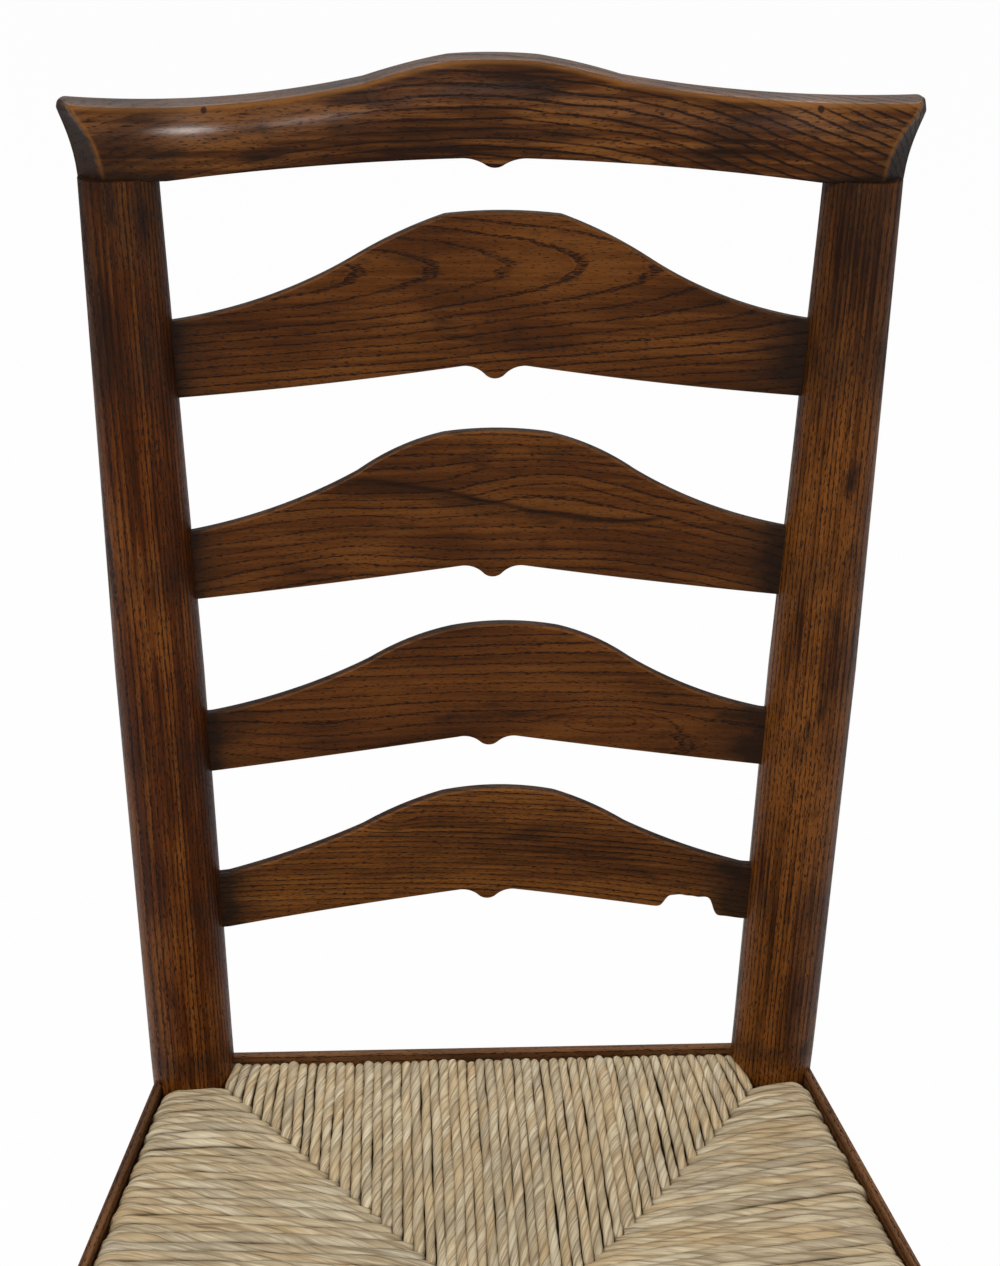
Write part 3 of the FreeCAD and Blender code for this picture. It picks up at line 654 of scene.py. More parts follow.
@dataclass(frozen=True)
class Slat:
    """One ladder slat: bowed, ogee above, arched with a pendant below, its rims worn round.

    reach is half its length between the posts; foot, arch and nib are heights of the underside, eave
    that of the top's ends; knee and brow are (left, right, up) where the top's ogee turns; bulges are
    the arcs of underside, eave, shoulder and crown; eave_lift raises the left and right eave; notch
    is (inner end, outer end, top) of the worn bite; rims are the radii of front low, front top, back
    top and back low; wear is how pale they are in front and behind, dust how dark above.
    """

    name: str
    reach: float
    foot: float
    arch: float
    nib: float
    eave: float
    knee: tuple[float, float, float]
    brow: tuple[float, float, float]
    bulges: tuple[float, float, float, float]
    finish: StainedWood
    nib_aside: float = 1.2
    worn_off: float = 0.9
    eave_lift: tuple[float, float] = (0.0, 0.0)
    notch: tuple[float, float, float] | None = None
    thickness: float = 6.7
    bow: float = 13.7
    tenon: float = 13.6
    nib_out: float = 17.0
    nib_tip: float = 5.0
    nib_up: float = 2.6
    nib_bulges: tuple[float, float] = (-1.5, 2.0)
    rims: tuple[float, float, float, float] = (1.1, 1.7, 1.2, 1.0)
    wear: tuple[float, float] = (0.35, 0.3)
    dust: float = 0.55

    def profiles(self) -> tuple[Run, Run]:
        """The underside and the top edge as runs from left to right."""
        end, middle, tip = self.reach + self.tenon, self.nib_aside, self.nib + self.nib_up
        below, above, shoulder, crown = self.bulges
        hollow, point = self.nib_bulges
        left, right = (self.eave + lift for lift in self.eave_lift)
        under = Run((-end, self.foot), (-self.reach, self.foot, below), (middle - self.nib_out, self.arch, hollow),
                    (middle - self.nib_tip, tip, point), (middle + self.nib_tip, tip, hollow),
                    (middle + self.nib_out, self.arch, below), (self.reach, self.foot), (end, self.foot))
        over = Run((-end, left), (-self.reach, left, above), (-self.knee[0], self.knee[2], -shoulder),
                   (-self.brow[0], self.brow[2], -crown), (self.brow[1], self.brow[2], -shoulder),
                   (self.knee[1], self.knee[2], above), (self.reach, right), (end, right))
        return under, over

    def bitten(self, x: np.ndarray, under: np.ndarray) -> np.ndarray:
        """The underside with the worn notch: a flat-topped step with rounded, uneven ends."""
        if self.notch is None:
            return under
        inner, outer, top = self.notch
        rise = 1 / (1 + np.exp(-(x - inner) / 1.2)) / (1 + np.exp((x - outer) / 0.9))
        ragged = top + 0.35 * np.sin(x / 3.4) + 0.12 * np.sin(x / 1.1)
        lip = 0.4 * np.exp(-((x - outer - 3.5) / 2.6) ** 2)
        return under + np.maximum(ragged - under, 0) * rise - lip

    def rim(self, which: int) -> np.ndarray:
        """One rounded edge of the section as rows of share of the height, shift, depth, wear and dust.

        The radius r and an angle a from 0 on the face to 90 degrees on the edge give the inset
        r (1 - sin a) from the edge and r (1 - cos a) from the face.
        """
        angle, radius = np.linspace(0, math.pi / 2, 5), self.rims[which]
        top, back = which in (1, 2), which > 1
        inset = radius * (1 - np.sin(angle))
        depth = self.thickness / 2 - radius * (1 - np.cos(angle))
        rows = np.stack([np.full(5, float(top)), -inset if top else inset, depth if back else -depth,
                         self.wear[back] * np.sin(2 * angle), top * self.dust * np.sin(angle) ** 4])
        return rows if which % 2 else rows[:, ::-1]

    def face(self, count: int, depth: float, low: float, high: float) -> np.ndarray:
        """One face of the section between two rims, in the same rows."""
        share, none = np.linspace(0.08, 0.92, count), np.zeros(count)
        return np.stack([share, low * (1 - share) - high * share, none + depth, none, none])

    def build(self) -> bpy.types.Object:
        """Builds the slat: each section is a rectangle with quarter-round rims, carried along the bow.

        Returns:
            The slat's object.
        """
        end, half = self.reach + self.tenon, self.thickness / 2
        front_low, front_top, back_top, back_low = self.rims
        x = np.unique(np.concatenate([np.linspace(-end, end, 231), np.linspace(-19, 19, 61),
                                      np.linspace(96, 136, 97) if self.notch else np.zeros(0)]))[:, None]
        under, over = (profile.at(x) for profile in self.profiles())
        under, over = self.bitten(x, under), over - self.worn_off
        share, shift, depth, worn, dusty = np.concatenate([
            self.rim(0), self.face(9, -half, front_low, front_top), self.rim(1),
            self.rim(2), self.face(5, half, back_low, back_top)[:, ::-1], self.rim(3)], axis=1)
        up = under + (over - under) * share + shift
        fade = np.where(x > 0, 22.0, 12.0)
        joint = np.maximum(np.exp(-np.maximum(self.reach + 4 - np.abs(x), 0) / fade), dusty)
        return stand_in(self.name, "slat_wood", self.finish, bow_depth(x, self.reach, self.bow), (x, up, depth), x,
                        np.broadcast_to(worn, up.shape), joint)


@dataclass(frozen=True)
class CrestRail:
    """The crest: a thick bowed board, ogee above, its ends cut obliquely to flared ears, worn round.

    reach and ear are half the length at the underside and at the ears' tips; shelf is the height of
    the ends, knee and brow the ogee's turns; cut is how far from the end the oblique cut starts,
    cut_less how much less it is at the top, cut_deep its depth and arris its edge's softness.
    """

    finish: StainedWood
    thickness: float = 38.0
    bow: float = 12.0
    reach: float = 210.0
    ear: float = 219.4
    base: float = 517.6
    arch: float = 528.2
    nib: float = 523.2
    nib_out: float = 17.0
    nib_tip: float = 5.0
    shelf_left: float = 555.0
    shelf_right: float = 557.6
    knee_out: float = 65.5
    knee_left: float = 564.0
    knee_right: float = 565.4
    brow_out: float = 23.0
    brow_up: float = 574.9
    flat: float = 163.0
    cut: float = 15.5
    cut_less: float = 7.0
    cut_deep: float = 27.0
    arris: float = 0.75
    tip_round: float = 4.8
    skew: float = 1.0
    lip: float = 3.2
    lip_out: float = 200.0
    roll_high: float = 26.0
    roll_deep: float = 8.0
    roll_power: float = 2.2
    low_round: tuple[float, float] = (1.6, 1.0)
    back_round: tuple[float, float] = (3.0, 2.2)
    belly: float = 1.2
    belly_at: tuple[float, float] = (538.0, 22.0)
    post_at: float = 184.0

    def over(self, x: np.ndarray) -> np.ndarray:
        """The top edge from ear to ear, falling as a quarter circle at each tip."""
        line = Run((-self.ear, self.shelf_left, 5.8), (-self.knee_out, self.knee_left, -0.7),
                   (-self.brow_out, self.brow_up, -0.9), (self.brow_out, self.brow_up, -0.7),
                   (self.knee_out, self.knee_right, 4.2), (self.ear, self.shelf_right)).at(x)
        past = np.clip(np.abs(x) - (self.ear - self.tip_round), 0, self.tip_round)
        return line - self.tip_round + np.sqrt(self.tip_round ** 2 - past * past)

    def under(self, x: np.ndarray) -> np.ndarray:
        """The underside, with a small lip that laps each post's shoulder on the outside."""
        corner, tip = self.base + 1.0, self.nib + 2.0
        line = Run((-self.reach, corner, 0.5), (-self.flat, self.base, -1.6), (-self.nib_out, self.arch, -0.9),
                   (-self.nib_tip, tip, 1.7), (self.nib_tip, tip, -0.9), (self.nib_out, self.arch, -1.6),
                   (self.flat, self.base, 0.5), (self.reach, corner)).at(x)
        return line - self.lip / (1 + np.exp(-(np.abs(x) - self.lip_out) / 1.6))

    def flare(self, up: np.ndarray) -> np.ndarray:
        """The end of the board at its back face: how far out it stands at each height."""
        low = float(self.under(np.array([self.reach]))[0])
        return Run((low, self.reach, 2.0), (self.shelf_left - self.tip_round, self.ear)).at(up)

    def front(self, x: np.ndarray, up: np.ndarray) -> tuple[np.ndarray, ...]:
        """The front face's depth.

        The face bulges a little, rolls over towards the top edge by d (1 - sqrt(1 - s^p)) with s the
        share of the roll, and falls away past the arris at each end in a straight oblique cut: depth
        over width of the cut times a soft ramp w log(1 + exp(t / w)).

        Args:
            x: across.
            up: height along the rake.

        Returns:
            The depth, the share of the top roll and the distance past the end's arris.
        """
        step = 0.5
        inner = np.clip(x, 6 - self.ear, self.ear - 6)
        slope = (self.over(inner + step) - self.over(inner - step)) / (2 * step)
        top = (self.over(x) - up) / np.sqrt(1 + slope * slope)
        share = np.clip(1 - top / self.roll_high, 0, 1)
        low_high, low_deep = self.low_round
        low = np.clip(1 - (up - self.under(x)) / low_high, 0, 1)
        roll = self.roll_deep * (1 - np.sqrt(1 - share ** self.roll_power)) + low_deep * (1 - np.sqrt(1 - low * low))
        rise = np.clip((up - self.base) / (self.shelf_left - self.base), 0, 1)
        cut = self.cut - self.cut_less * rise ** 4
        past = cut - (self.flare(up) - np.abs(x))
        ramp = self.arris * np.logaddexp(0, past / self.arris) * self.cut_deep / cut
        middle, spread = self.belly_at
        swell = self.belly * np.clip(1 - ((up - middle) / spread) ** 2, -1.0, 1)
        depth = -self.thickness / 2 - swell * 0.5 + self.belly * 0.5 + roll + ramp
        return np.minimum(depth, self.thickness / 2 - 0.02), share, past

    def places(self) -> np.ndarray:
        """Where the sections stand across, closer near the ears, the lower corners and the pendant."""
        fall = 1 - np.cos(np.linspace(0, math.pi / 2, 22))
        tip, near = self.ear - fall * (self.ear - self.reach), np.linspace(self.reach - 22, self.reach, 45)
        whole, nib = np.linspace(-self.reach, self.reach, 281), np.linspace(-18, 18, 61)
        return np.unique(np.round(np.concatenate([tip, -tip, near, -near, whole, nib]), 4))[:, None]

    def build(self) -> bpy.types.Object:
        """Builds the crest from ear to ear: each section goes up the front, over, down the back and under.

        Beyond the lower corners a section starts on the flared end instead of the underside, so the
        sections shrink to the ears' tips.

        Returns:
            The crest's object.
        """
        x = self.places()
        over, under, beyond = self.over(x), self.under(x), np.abs(x) > self.reach
        heights = np.linspace(float(under.min()), self.shelf_left - self.tip_round, 400)
        under = np.where(beyond, np.interp(np.abs(x), self.flare(heights), heights), under)
        under = np.minimum(under, over - 0.02)
        up_front = under + (over - under) * (1 - np.cos(np.linspace(0, math.pi, 40))) / 2
        front, roll, past = self.front(x, up_front)
        up_back = up_front[:, ::-2]
        round_high, round_deep = self.back_round
        edge = np.clip(1 - np.minimum(up_back - under, over - up_back) / round_high, 0, 1)
        back = np.maximum(self.thickness / 2 - round_deep * (1 - np.sqrt(1 - edge ** 2)), front[:, ::-2] + 0.01)
        band = np.linspace(0, 1, 8)[1:-1]
        top, low = front[:, -1:], back[:, -1:]
        crown = over + np.sin(band * math.pi) * 0.5 * ~beyond
        up = np.concatenate([up_front, crown, up_back, under + 0 * band], axis=1)
        top, low = top + (back[:, :1] - top) * band, low + (front[:, :1] - low) * band
        depth = np.concatenate([front, top, back, low], axis=1)
        ridge, corner = np.exp(-((roll - 0.955) / 0.05) ** 2), np.exp(-((past + 0.4) / 1.1) ** 2)
        none = np.zeros((len(x), len(band)))
        worn = np.concatenate([np.maximum(ridge * 0.75, corner * 0.8), none + 0.06, edge * 0.4, none], axis=1)
        cut_face = np.clip((past - 1.5) / 3.0, 0, 1) * (0.6 + 0.4 * np.clip((548 - up_front) / 25, 0, 1))
        above_post = np.clip((30 - np.abs(np.abs(x) - self.post_at)) / 8, 0, 1)
        seat = np.exp(-np.maximum(up_front - self.base, 0) / 4.5) * above_post * 0.7
        joint = np.concatenate([np.maximum(cut_face, seat), none, 0 * up_back, none], axis=1)
        return stand_in("crest_rail", "crest_wood", self.finish, bow_depth(x, self.ear, self.bow), (x, up, depth),
                        x + self.skew * (x / self.ear) ** 2, worn, joint)


@dataclass
class Back:
    """The chair's back: posts, crest and four slats."""

    plan: ChairPlan = PLAN

    def slats(self) -> list[Slat]:
        """The four slats with their own logs."""
        vein = (0.34273, -0.2246, 0.263, 11.79)
        return [
            Slat("top_slat", 164.0, 404.2, 417.2, 409.8, 445.2, (72.6, 81.7, 475.0), (24.5, 35.6, 497.2),
                 (2.0, 4.8, 1.4, 1.6),
                 StainedWood("slat_wood_one", pith=(0.470, -0.026), drift=(-0.03, 0.12), ring=0.0046, seed=3.1,
                             holes=((0.0151, 0.4165, 0.0007), (0.1010, 0.4140, 0.0007))),
                 nib_aside=2.2, worn_off=0.4, eave_lift=(0.0, 0.5)),
            Slat("upper_middle_slat", 159.0, 292.6, 305.7, 298.7, 331.4, (70.4, 77.9, 361.0), (24.9, 31.0, 381.3),
                 (1.6, 4.2, 2.4, 1.9),
                 StainedWood("slat_wood_two", pith=(0.398, -0.018), drift=(0.03, -0.05), arch=0.6, ring=0.0054,
                             seed=11.7, wander=0.020,
                             veins=((-0.082, 0.112, 0.0016, 0.85) + vein,
                                    (-0.090, 0.030, 0.0045, 0.55, vein[0] - 0.003) + vein[1:]),
                             eyes=((0.045, 0.353, 0.045, 0.016, 1.6), (-0.055, 0.352, 0.05, 0.010, -1.3))),
                 nib_aside=2.2, eave_lift=(0.4, 1.0)),
            Slat("lower_middle_slat", 152.0, 191.0, 203.7, 198.0, 225.4, (65.0, 78.0, 252.6), (20.0, 38.5, 270.3),
                 (1.6, 3.8, 2.0, 2.5),
                 StainedWood("slat_wood_three", pith=(0.196, -0.022), drift=(-0.03, 0.06), ring=0.0050, seed=23.9,
                             middle=tone(86, 47, 15),
                             eyes=((0.070, 0.2145, 0.026, 0.0065, -3.2), (-0.09, 0.205, 0.05, 0.02, 1.2))),
                 eave_lift=(1.3, 0.0)),
            Slat("bottom_slat", 146.0, 92.9, 106.7, 100.5, 127.4, (69.8, 78.8, 151.0), (25.0, 38.0, 169.6),
                 (0.7, 2.2, 1.4, 2.9),
                 StainedWood("slat_wood_four", pith=(0.010, -0.060), drift=(0.02, 0.10), ring=0.0030, seed=31.3,
                             early=0.34, scatter=0.58, middle=tone(94, 54, 20), light=tone(122, 76, 30),
                             eyes=((-0.052, 0.152, 0.012, 0.005, 1.4),),
                             holes=((-0.0810, 0.1080, 0.0009), (0.0740, 0.1070, 0.0008),
                                    (0.0080, 0.1310, 0.0006), (0.0840, 0.1270, 0.0007))),
                 notch=(103.2, 130.8, 105.3), eave_lift=(0.5, 1.2)),
        ]

    def crest(self) -> CrestRail:
        """The crest with its own log."""
        return CrestRail(StainedWood(
            "crest_wood_grain", pith=(0.470, -0.035), drift=(0.03, 0.05), arch=1.1, ring=0.0050, wander=0.016,
            seed=5.5, early=0.30, rows=0.7, contrast=1.75, blotch=0.53, calm=(0.0, -0.13),
            smudges=((-0.178, 0.030, 0.32), (-0.105, 0.035, 0.18), (0.020, 0.030, 0.10), (0.190, 0.022, 0.24)),
            polish=((-0.152, 0.5450, 0.013, 0.007, 0.85), (-0.100, 0.5490, 0.024, 0.006, 0.22),
                    (0.152, 0.5530, 0.018, 0.006, 0.35)),
            holes=((0.1615, 0.5535, 0.0017), (-0.1440, 0.5515, 0.0015)),
            dark=tone(38, 19, 8), middle=tone(78, 43, 15), light=tone(116, 73, 34)))

    def post(self, word: str, side: int) -> StainedWood:
        """The finish of one post; the right one is paler."""
        return StainedWood(
            f"{word}_post_grain", GrainFrom.OBJECT, along=self.plan.post_axis(side), pith=(0.19, 0.12 * side),
            drift=(0.0, 0.0), ring=0.0024, rows=0.3, seed=41.0 + side, early=0.45, scatter=0.55, contrast=1.45,
            gloss=0.30, dusk=(0.80, 0.98, 0.40), blotch=0.59,
            smudges=((0.885, 0.020, 0.24), (0.772, 0.018, 0.22), (0.668, 0.016, 0.18), (0.570, 0.016, 0.16),
                     (0.472, 0.010, 0.32)),
            dark=tone(42, 18, 4), middle=tone(90 + 11 * side, 47 + 10 * side, 13 + 6 * side),
            light=tone(116, 68, 25))

    def build(self) -> None:
        """Builds slats and crest and dresses the posts."""
        for board in self.slats() + [self.crest()]:
            board.build()
        for word, side in (("left", -1), ("right", 1)):
            dress(f"{word}_back_post", self.post(word, side).make())


# ---------------------------------------------------------------- the underframe

@dataclass
class Underframe:
    """Front legs, stretchers and the rails under the rush."""

    def build(self) -> None:
        """Dresses legs, stretchers and rails."""
        up, aside, ahead = (0.0, 0.0, 1.0), (1.0, 0.0, 0.0), (0.0, 1.0, 0.0)
        for node, word, along, pith, seed in (
                ("left_front_leg", "left_leg", up, (0.2, 0.1), 61.0),
                ("right_front_leg", "right_leg", up, (-0.2, 0.14), 67.0),
                ("front_stretcher", "front_bar", aside, (0.1, 0.3), 71.0),
                ("back_stretcher", "back_bar", aside, (0.2, 0.3), 73.0),
                ("left_upper_side_stretcher", "left_upper_bar", ahead, (0.15, 0.2), 79.0),
                ("right_upper_side_stretcher", "right_upper_bar", ahead, (0.15, 0.2), 81.0),
                ("left_lower_side_stretcher", "left_lower_bar", ahead, (0.15, 0.25), 82.0),
                ("right_lower_side_stretcher", "right_lower_bar", ahead, (0.15, 0.25), 84.0)):
            dress(node, StainedWood(
                word + "_grain", GrainFrom.OBJECT, along, pith, (0.0, 0.0), ring=0.0028, wander=0.004, seed=seed,
                early=0.42, scatter=0.57, middle=tone(74, 40, 18), light=tone(92, 55, 26)).make())
        raw = Mottled("rail_wood", tone(120, 88, 58), tone(156, 122, 84), (90.0, 90.0, 420.0), 0.5, 0.5, 0.3, 0.0003)
        rail = raw.make()
        for word in ("front", "back", "left", "right"):
            dress(f"{word}_seat_rail", rail)


# ---------------------------------------------------------------- the rush seat

@dataclass(frozen=True)
class Panel:
    """The strands of one side of the seat, from the mitre over a rail and back underneath.

    edge and mitre hold one (x, y) in millimetres for each strand: where its middle line is farthest
    out round the rail, and where it dives between the layers. half_edge and half_mitre are half the
    strand's width at both; sink is how far it lies lower at the mitre, lay the length of one whole
    twist. The last two fields are painted shade: the first darkens the gaps between strands, the
    second the whole side.
    """

    name: str
    edge: np.ndarray
    mitre: np.ndarray
    half_edge: np.ndarray
    half_mitre: np.ndarray
    seed: int
    lay: float
    sink: float = 0.0
    groove_shade: float = 0.6
    shade: float = 0.0


def shares(count: int) -> np.ndarray:
    """Middles of that many equal parts of 0 to 1."""
    return (np.arange(count) + 0.5) / count


def mitre_line(start: tuple[float, float], finish: tuple[float, float], count: int, bow: float = 0.0) -> np.ndarray:
    """Places of strands along a mitre: a line that bows forward as 4 bow s (1 - s)."""
    share = shares(count)[:, None]
    line = np.array(start) + (np.array(finish) - start) * share
    return line - np.concatenate([0 * share, bow * 4 * share * (1 - share)], axis=1)


@dataclass
class RushSeat:
    """A rush seat woven round four rails from the corners inwards.

    corners and apexes are the ends of the left and right mitres and bows how far the back ones bow;
    ridge gives the middle strands' dive as (y, y for each x). near (start, reach, power) and far
    (start, reach) place a side's strands ahead of the posts; a side's strands overlap at the mitre.
    waves are (height, length) of two sines sideways, one upwards and one in thickness; scatter is
    each strand's own share of the last two and leaf how far its three leaves stand out. pack is the
    stuffing's (start, end, half height), narrower up to pack_rear and past pack_fore (ahead, half).
    """

    plan: ChairPlan = PLAN
    strand: float = 5.5
    pitch: float = 5.44
    back_edge: float = 7.7
    front_edge: float = -380.0
    edge: float = 185.3
    flare: float = 0.196
    thick: float = 36.0
    turn: float = 11.0
    drop: float = 7.5
    crown: float = 2.2
    around: int = 12
    backs: int = 22
    fronts: int = 38
    middles: int = 10
    back_wide: float = 147.0
    front_wide: float = 222.0
    front_middle: float = 27.0
    back_corners: Rows = ((-152.5, -18.0), (157.0, -27.0))
    front_corners: Rows = ((-221.5, -341.0), (221.5, -341.0))
    apexes: Rows = ((-27.0, -172.0), (27.0, -187.0))
    bows: tuple[float, float] = (0.5, 8.0)
    ridge: tuple[float, float] = (-179.5, -0.28)
    near: tuple[float, float, float] = (22.5, 137.0, 1.08)
    far: tuple[float, float] = (341.0, 180.0)
    overlap: float = 5.0
    waves: Rows = ((0.28, 17.0), (0.18, 7.3), (0.30, 23.0), (0.07, 9.0))
    scatter: tuple[float, float] = (0.36, 0.07)
    leaf: float = 0.07
    pack: tuple[float, float, float] = (-2.0, 368.0, 10.5)
    pack_rear: tuple[float, float] = (24.0, 145.0)
    pack_fore: tuple[float, float] = (338.0, 218.0)
    pack_inset: float = 9.0

    def across(self, ahead: np.ndarray) -> np.ndarray:
        """Middle of a side strand's outermost point, that far in front of the post axis."""
        return self.edge + self.flare * ahead - self.strand / 2

    def cross(self, name: str, y: float, wide: float, pitch: float, mitres: list[np.ndarray], seed: int,
              lay: float) -> Panel:
        """The strands of the back or front, from left to right.

        Args:
            name: the piece's name.
            y: middle of the strands' outermost points.
            wide: half the width of the weave on the rail.
            pitch: width of a strand.
            mitres: places along the left and the right mitre, from the corners inwards.
            seed: of the strands' unevenness.
            lay: length of one whole twist.

        Returns:
            The panel.
        """
        rail = wide - pitch * (np.arange(len(mitres[0])) + 0.5)
        middle = (np.arange(self.middles) - (self.middles - 1) / 2) * self.pitch
        x = np.concatenate([-rail, middle, rail[::-1]])
        apex = np.stack([middle, self.ridge[0] + middle * self.ridge[1]], -1)
        mitre = np.concatenate([mitres[0], apex, mitres[1][::-1]])
        half = np.full(len(x), pitch / 2)
        return Panel(name, np.stack([x, 0 * x + y], -1), mitre, half, half, seed, lay)

    def side(self, name: str, side: int, rear: np.ndarray, fore: np.ndarray, seed: int) -> Panel:
        """The strands of a side, from back to front.

        Args:
            name: the piece's name.
            side: -1 left, 1 right.
            rear: places along the back mitre, from the corner inwards.
            fore: the same along the front mitre.
            seed: of the strands' unevenness.

        Returns:
            The panel.
        """
        start, reach, power = self.near
        far_start, far_reach = self.far
        ahead = np.concatenate([start + reach * shares(self.backs) ** power,
                                (far_start - far_reach * shares(self.fronts))[::-1]])
        mitre = np.concatenate([rear, fore[::-1]])
        out = np.stack([side * self.across(ahead), -ahead], -1)
        inward = (mitre - out) / np.linalg.norm(mitre - out, axis=1, keepdims=True)
        half_edge = np.clip(np.gradient(ahead) / 2, 1.7, 3.6)
        half_mitre = np.clip(np.abs(np.gradient(mitre[:, 1])) / 2, 1.9, 3.6)
        # Side panels get stronger painted shade in their gaps and a little painted shade over the whole.
        return Panel(name, out, mitre + inward * self.overlap, half_edge, half_mitre, seed, lay=75.0, sink=2.2,
                     groove_shade=0.75, shade=0.07)

    def panels(self) -> list[Panel]:
        """Lays out the four sides: strand k goes from its place on the rail to the k-th on the mitre."""
        half = self.strand / 2
        rear = [mitre_line(*ends, self.backs, bow) for *ends, bow in zip(self.back_corners, self.apexes, self.bows)]
        fore = [mitre_line(*ends, self.fronts) for ends in zip(self.front_corners, self.apexes)]
        pitch = (self.front_wide - self.front_middle) / self.fronts
        return [self.cross("rush_back", self.back_edge - half, self.back_wide, self.pitch, rear, 11, 37.0),
                self.cross("rush_front", self.front_edge + half, self.front_wide, pitch, fore, 13, 45.0),
                self.side("rush_left", -1, rear[0], fore[0], 16),
                self.side("rush_right", 1, rear[1], fore[1], 18)]

    def path(self, length: np.ndarray, sink: float) -> tuple[np.ndarray, np.ndarray]:
        """The strand's way as (distance in from its outermost point, height), ring by ring.

        Top: a dive of a quarter cosine at the mitre, a crowned run, a quarter circle over the rail,
        a short drop, and the same underneath.

        Args:
            length: each strand's whole reach from its outermost point to the mitre, as a column.
            sink: how far it has sunk where it ends at the mitre.

        Returns:
            Distances in and heights, each (strand, ring), in millimetres.
        """
        top, low = self.plan.seat - self.strand / 2, self.plan.seat - self.thick + self.strand / 2
        dive = np.linspace(0, 1, 6)[None, :-1] * math.pi / 2
        flat = np.linspace(0, 1, 30)[None, :-1]
        bend = np.linspace(0, math.pi / 2, 7)[None]
        span = length - self.drop - self.turn
        crown = np.clip(span / 60.0, 0, 1) * self.crown
        inward = np.concatenate([length - self.drop * np.sin(dive), length - self.drop - span * flat,
                                 self.turn * (1 - np.sin(bend)) + 0 * span], axis=1)
        up = np.concatenate([-self.drop * np.cos(dive) * 0.9 - sink + 0 * span,
                             crown * np.sin(np.pi * flat) - sink * np.exp(-flat * span / 9.0),
                             -self.turn * (1 - np.cos(bend)) + 0 * span], axis=1)
        return (np.concatenate([inward, inward[:, ::-1]], axis=1),
                np.concatenate([top + up, low - up[:, ::-1]], axis=1))

    def weave(self, panel: Panel) -> bpy.types.Object:
        """Builds one side's strands as twisted tubes.

        A ring's point at angle a is the middle line plus half the width times cos a sideways and half
        the height times sin a upwards, both times 1 + leaf cos(3 (a + twist)) for the three leaves.
        The middle line sways and heaves by slow sines, and each strand has its own thickness.

        Args:
            panel: the side's layout.

        Returns:
            The side's object.
        """
        chance = np.random.default_rng(panel.seed)
        count = (len(panel.edge), 1)
        way = panel.mitre - panel.edge
        length = np.linalg.norm(way, axis=1, keepdims=True)
        way, length = (way / length)[:, None, :], length + 3.0
        inward, up = self.path(length, panel.sink)
        steps = np.hypot(np.diff(inward, axis=1), np.diff(up, axis=1))
        along = np.concatenate([np.zeros(count), np.cumsum(steps, axis=1)], axis=1)
        starts = chance.uniform(0, 2 * math.pi, (4,) + count)
        first, second, heave, thickness = (
            high * np.sin(along / long + start) for (high, long), start in zip(self.waves, starts))
        sway = first + second
        heave = heave + chance.normal(0, self.scatter[0], count)
        thickness = 1 + thickness + chance.normal(0, self.scatter[1], count)
        share = np.clip(inward / length, 0, 1)
        half = panel.half_edge[:, None] + (panel.half_mitre - panel.half_edge)[:, None] * share
        ahead, climb = np.gradient(inward, axis=1), np.gradient(up, axis=1)
        lift_in, lift_up = climb / np.hypot(ahead, climb), -ahead / np.hypot(ahead, climb)
        sideways = np.stack([-way[..., 1], way[..., 0]], axis=-1)
        centre = panel.edge[:, None, :] + way * (inward + heave * lift_in)[..., None] + sideways * sway[..., None]
        angle = np.arange(self.around) / self.around * 2 * math.pi - math.pi / 2
        spin = along / panel.lay * chance.uniform(0.75, 1.25, count) + chance.uniform(0, 1, count)
        leaf = 1 + self.leaf * np.cos(3 * (angle + 2 * math.pi * spin[..., None]))
        out = (half * thickness * 1.09)[..., None] * np.cos(angle) * leaf
        high = (self.strand / 2 * thickness)[..., None] * np.sin(angle) * leaf
        flat = centre[:, :, None] + sideways[:, :, None] * out[..., None] \
            + way[:, :, None] * (high * lift_in[..., None])[..., None]
        level = (up + heave * lift_up)[..., None] + high * lift_up[..., None]
        grid = np.concatenate([flat, level[..., None]], axis=-1)
        grid[..., 1] += self.plan.setback
        # Painted shade on each strand: in the gaps at its sides, on its underside, at both ends where it dives at
        # the mitre, and over a whole side.
        groove_shade = np.clip((np.abs(np.cos(angle)) - 0.76) / 0.24, 0, 1) ** 1.5 * panel.groove_shade
        inside = np.clip(-np.sin(angle) - 0.2, 0, 1)
        end = np.exp(-np.minimum(along, along[:, -1:] - along) / 3.2)[..., None]
        own = np.broadcast_to(chance.uniform(0, 1, count + (1,)), out.shape)
        painted_shade = np.broadcast_to(np.clip(np.maximum(groove_shade, inside) + end + panel.shade, 0, 1), out.shape)
        return Tubes(panel.name, grid * MM, {"tone": own, "painted_shade": painted_shade}, along * MM, spin).build()

    def stuffing(self) -> bpy.types.Object:
        """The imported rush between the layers: a rounded slab that follows the seat's outline.

        Rings from back to front; each is a flattened round across the seat, |cos| and |sin| raised
        to small powers, its width from the flare.
        """
        start, finish, tall = self.pack
        (rear, rear_half), (fore, fore_half) = self.pack_rear, self.pack_fore
        ahead = np.linspace(start, finish, 25)[:, None]
        half = np.where(ahead < rear, rear_half, self.across(ahead) - self.pack_inset)
        half = np.where(ahead > fore, fore_half, half)
        angle = shares(40) * 2 * math.pi - math.pi / 40
        wide, high = (np.sign(turn) * np.abs(turn) ** power
                      for turn, power in ((np.cos(angle), 0.25), (np.sin(angle), 0.35)))
        grid = np.stack(np.broadcast_arrays(half * wide, self.plan.setback - ahead,
                                            self.plan.seat - self.thick / 2 + tall * high), axis=-1)[None]
        # The stuffing between the layers is painted almost wholly in shade.
        values = {"tone": np.full(grid.shape[:3], 0.4), "painted_shade": np.full(grid.shape[:3], 0.9)}
        return Tubes("rush_stuffing", grid * MM, values, ahead.T * MM, 0 * ahead.T).build()

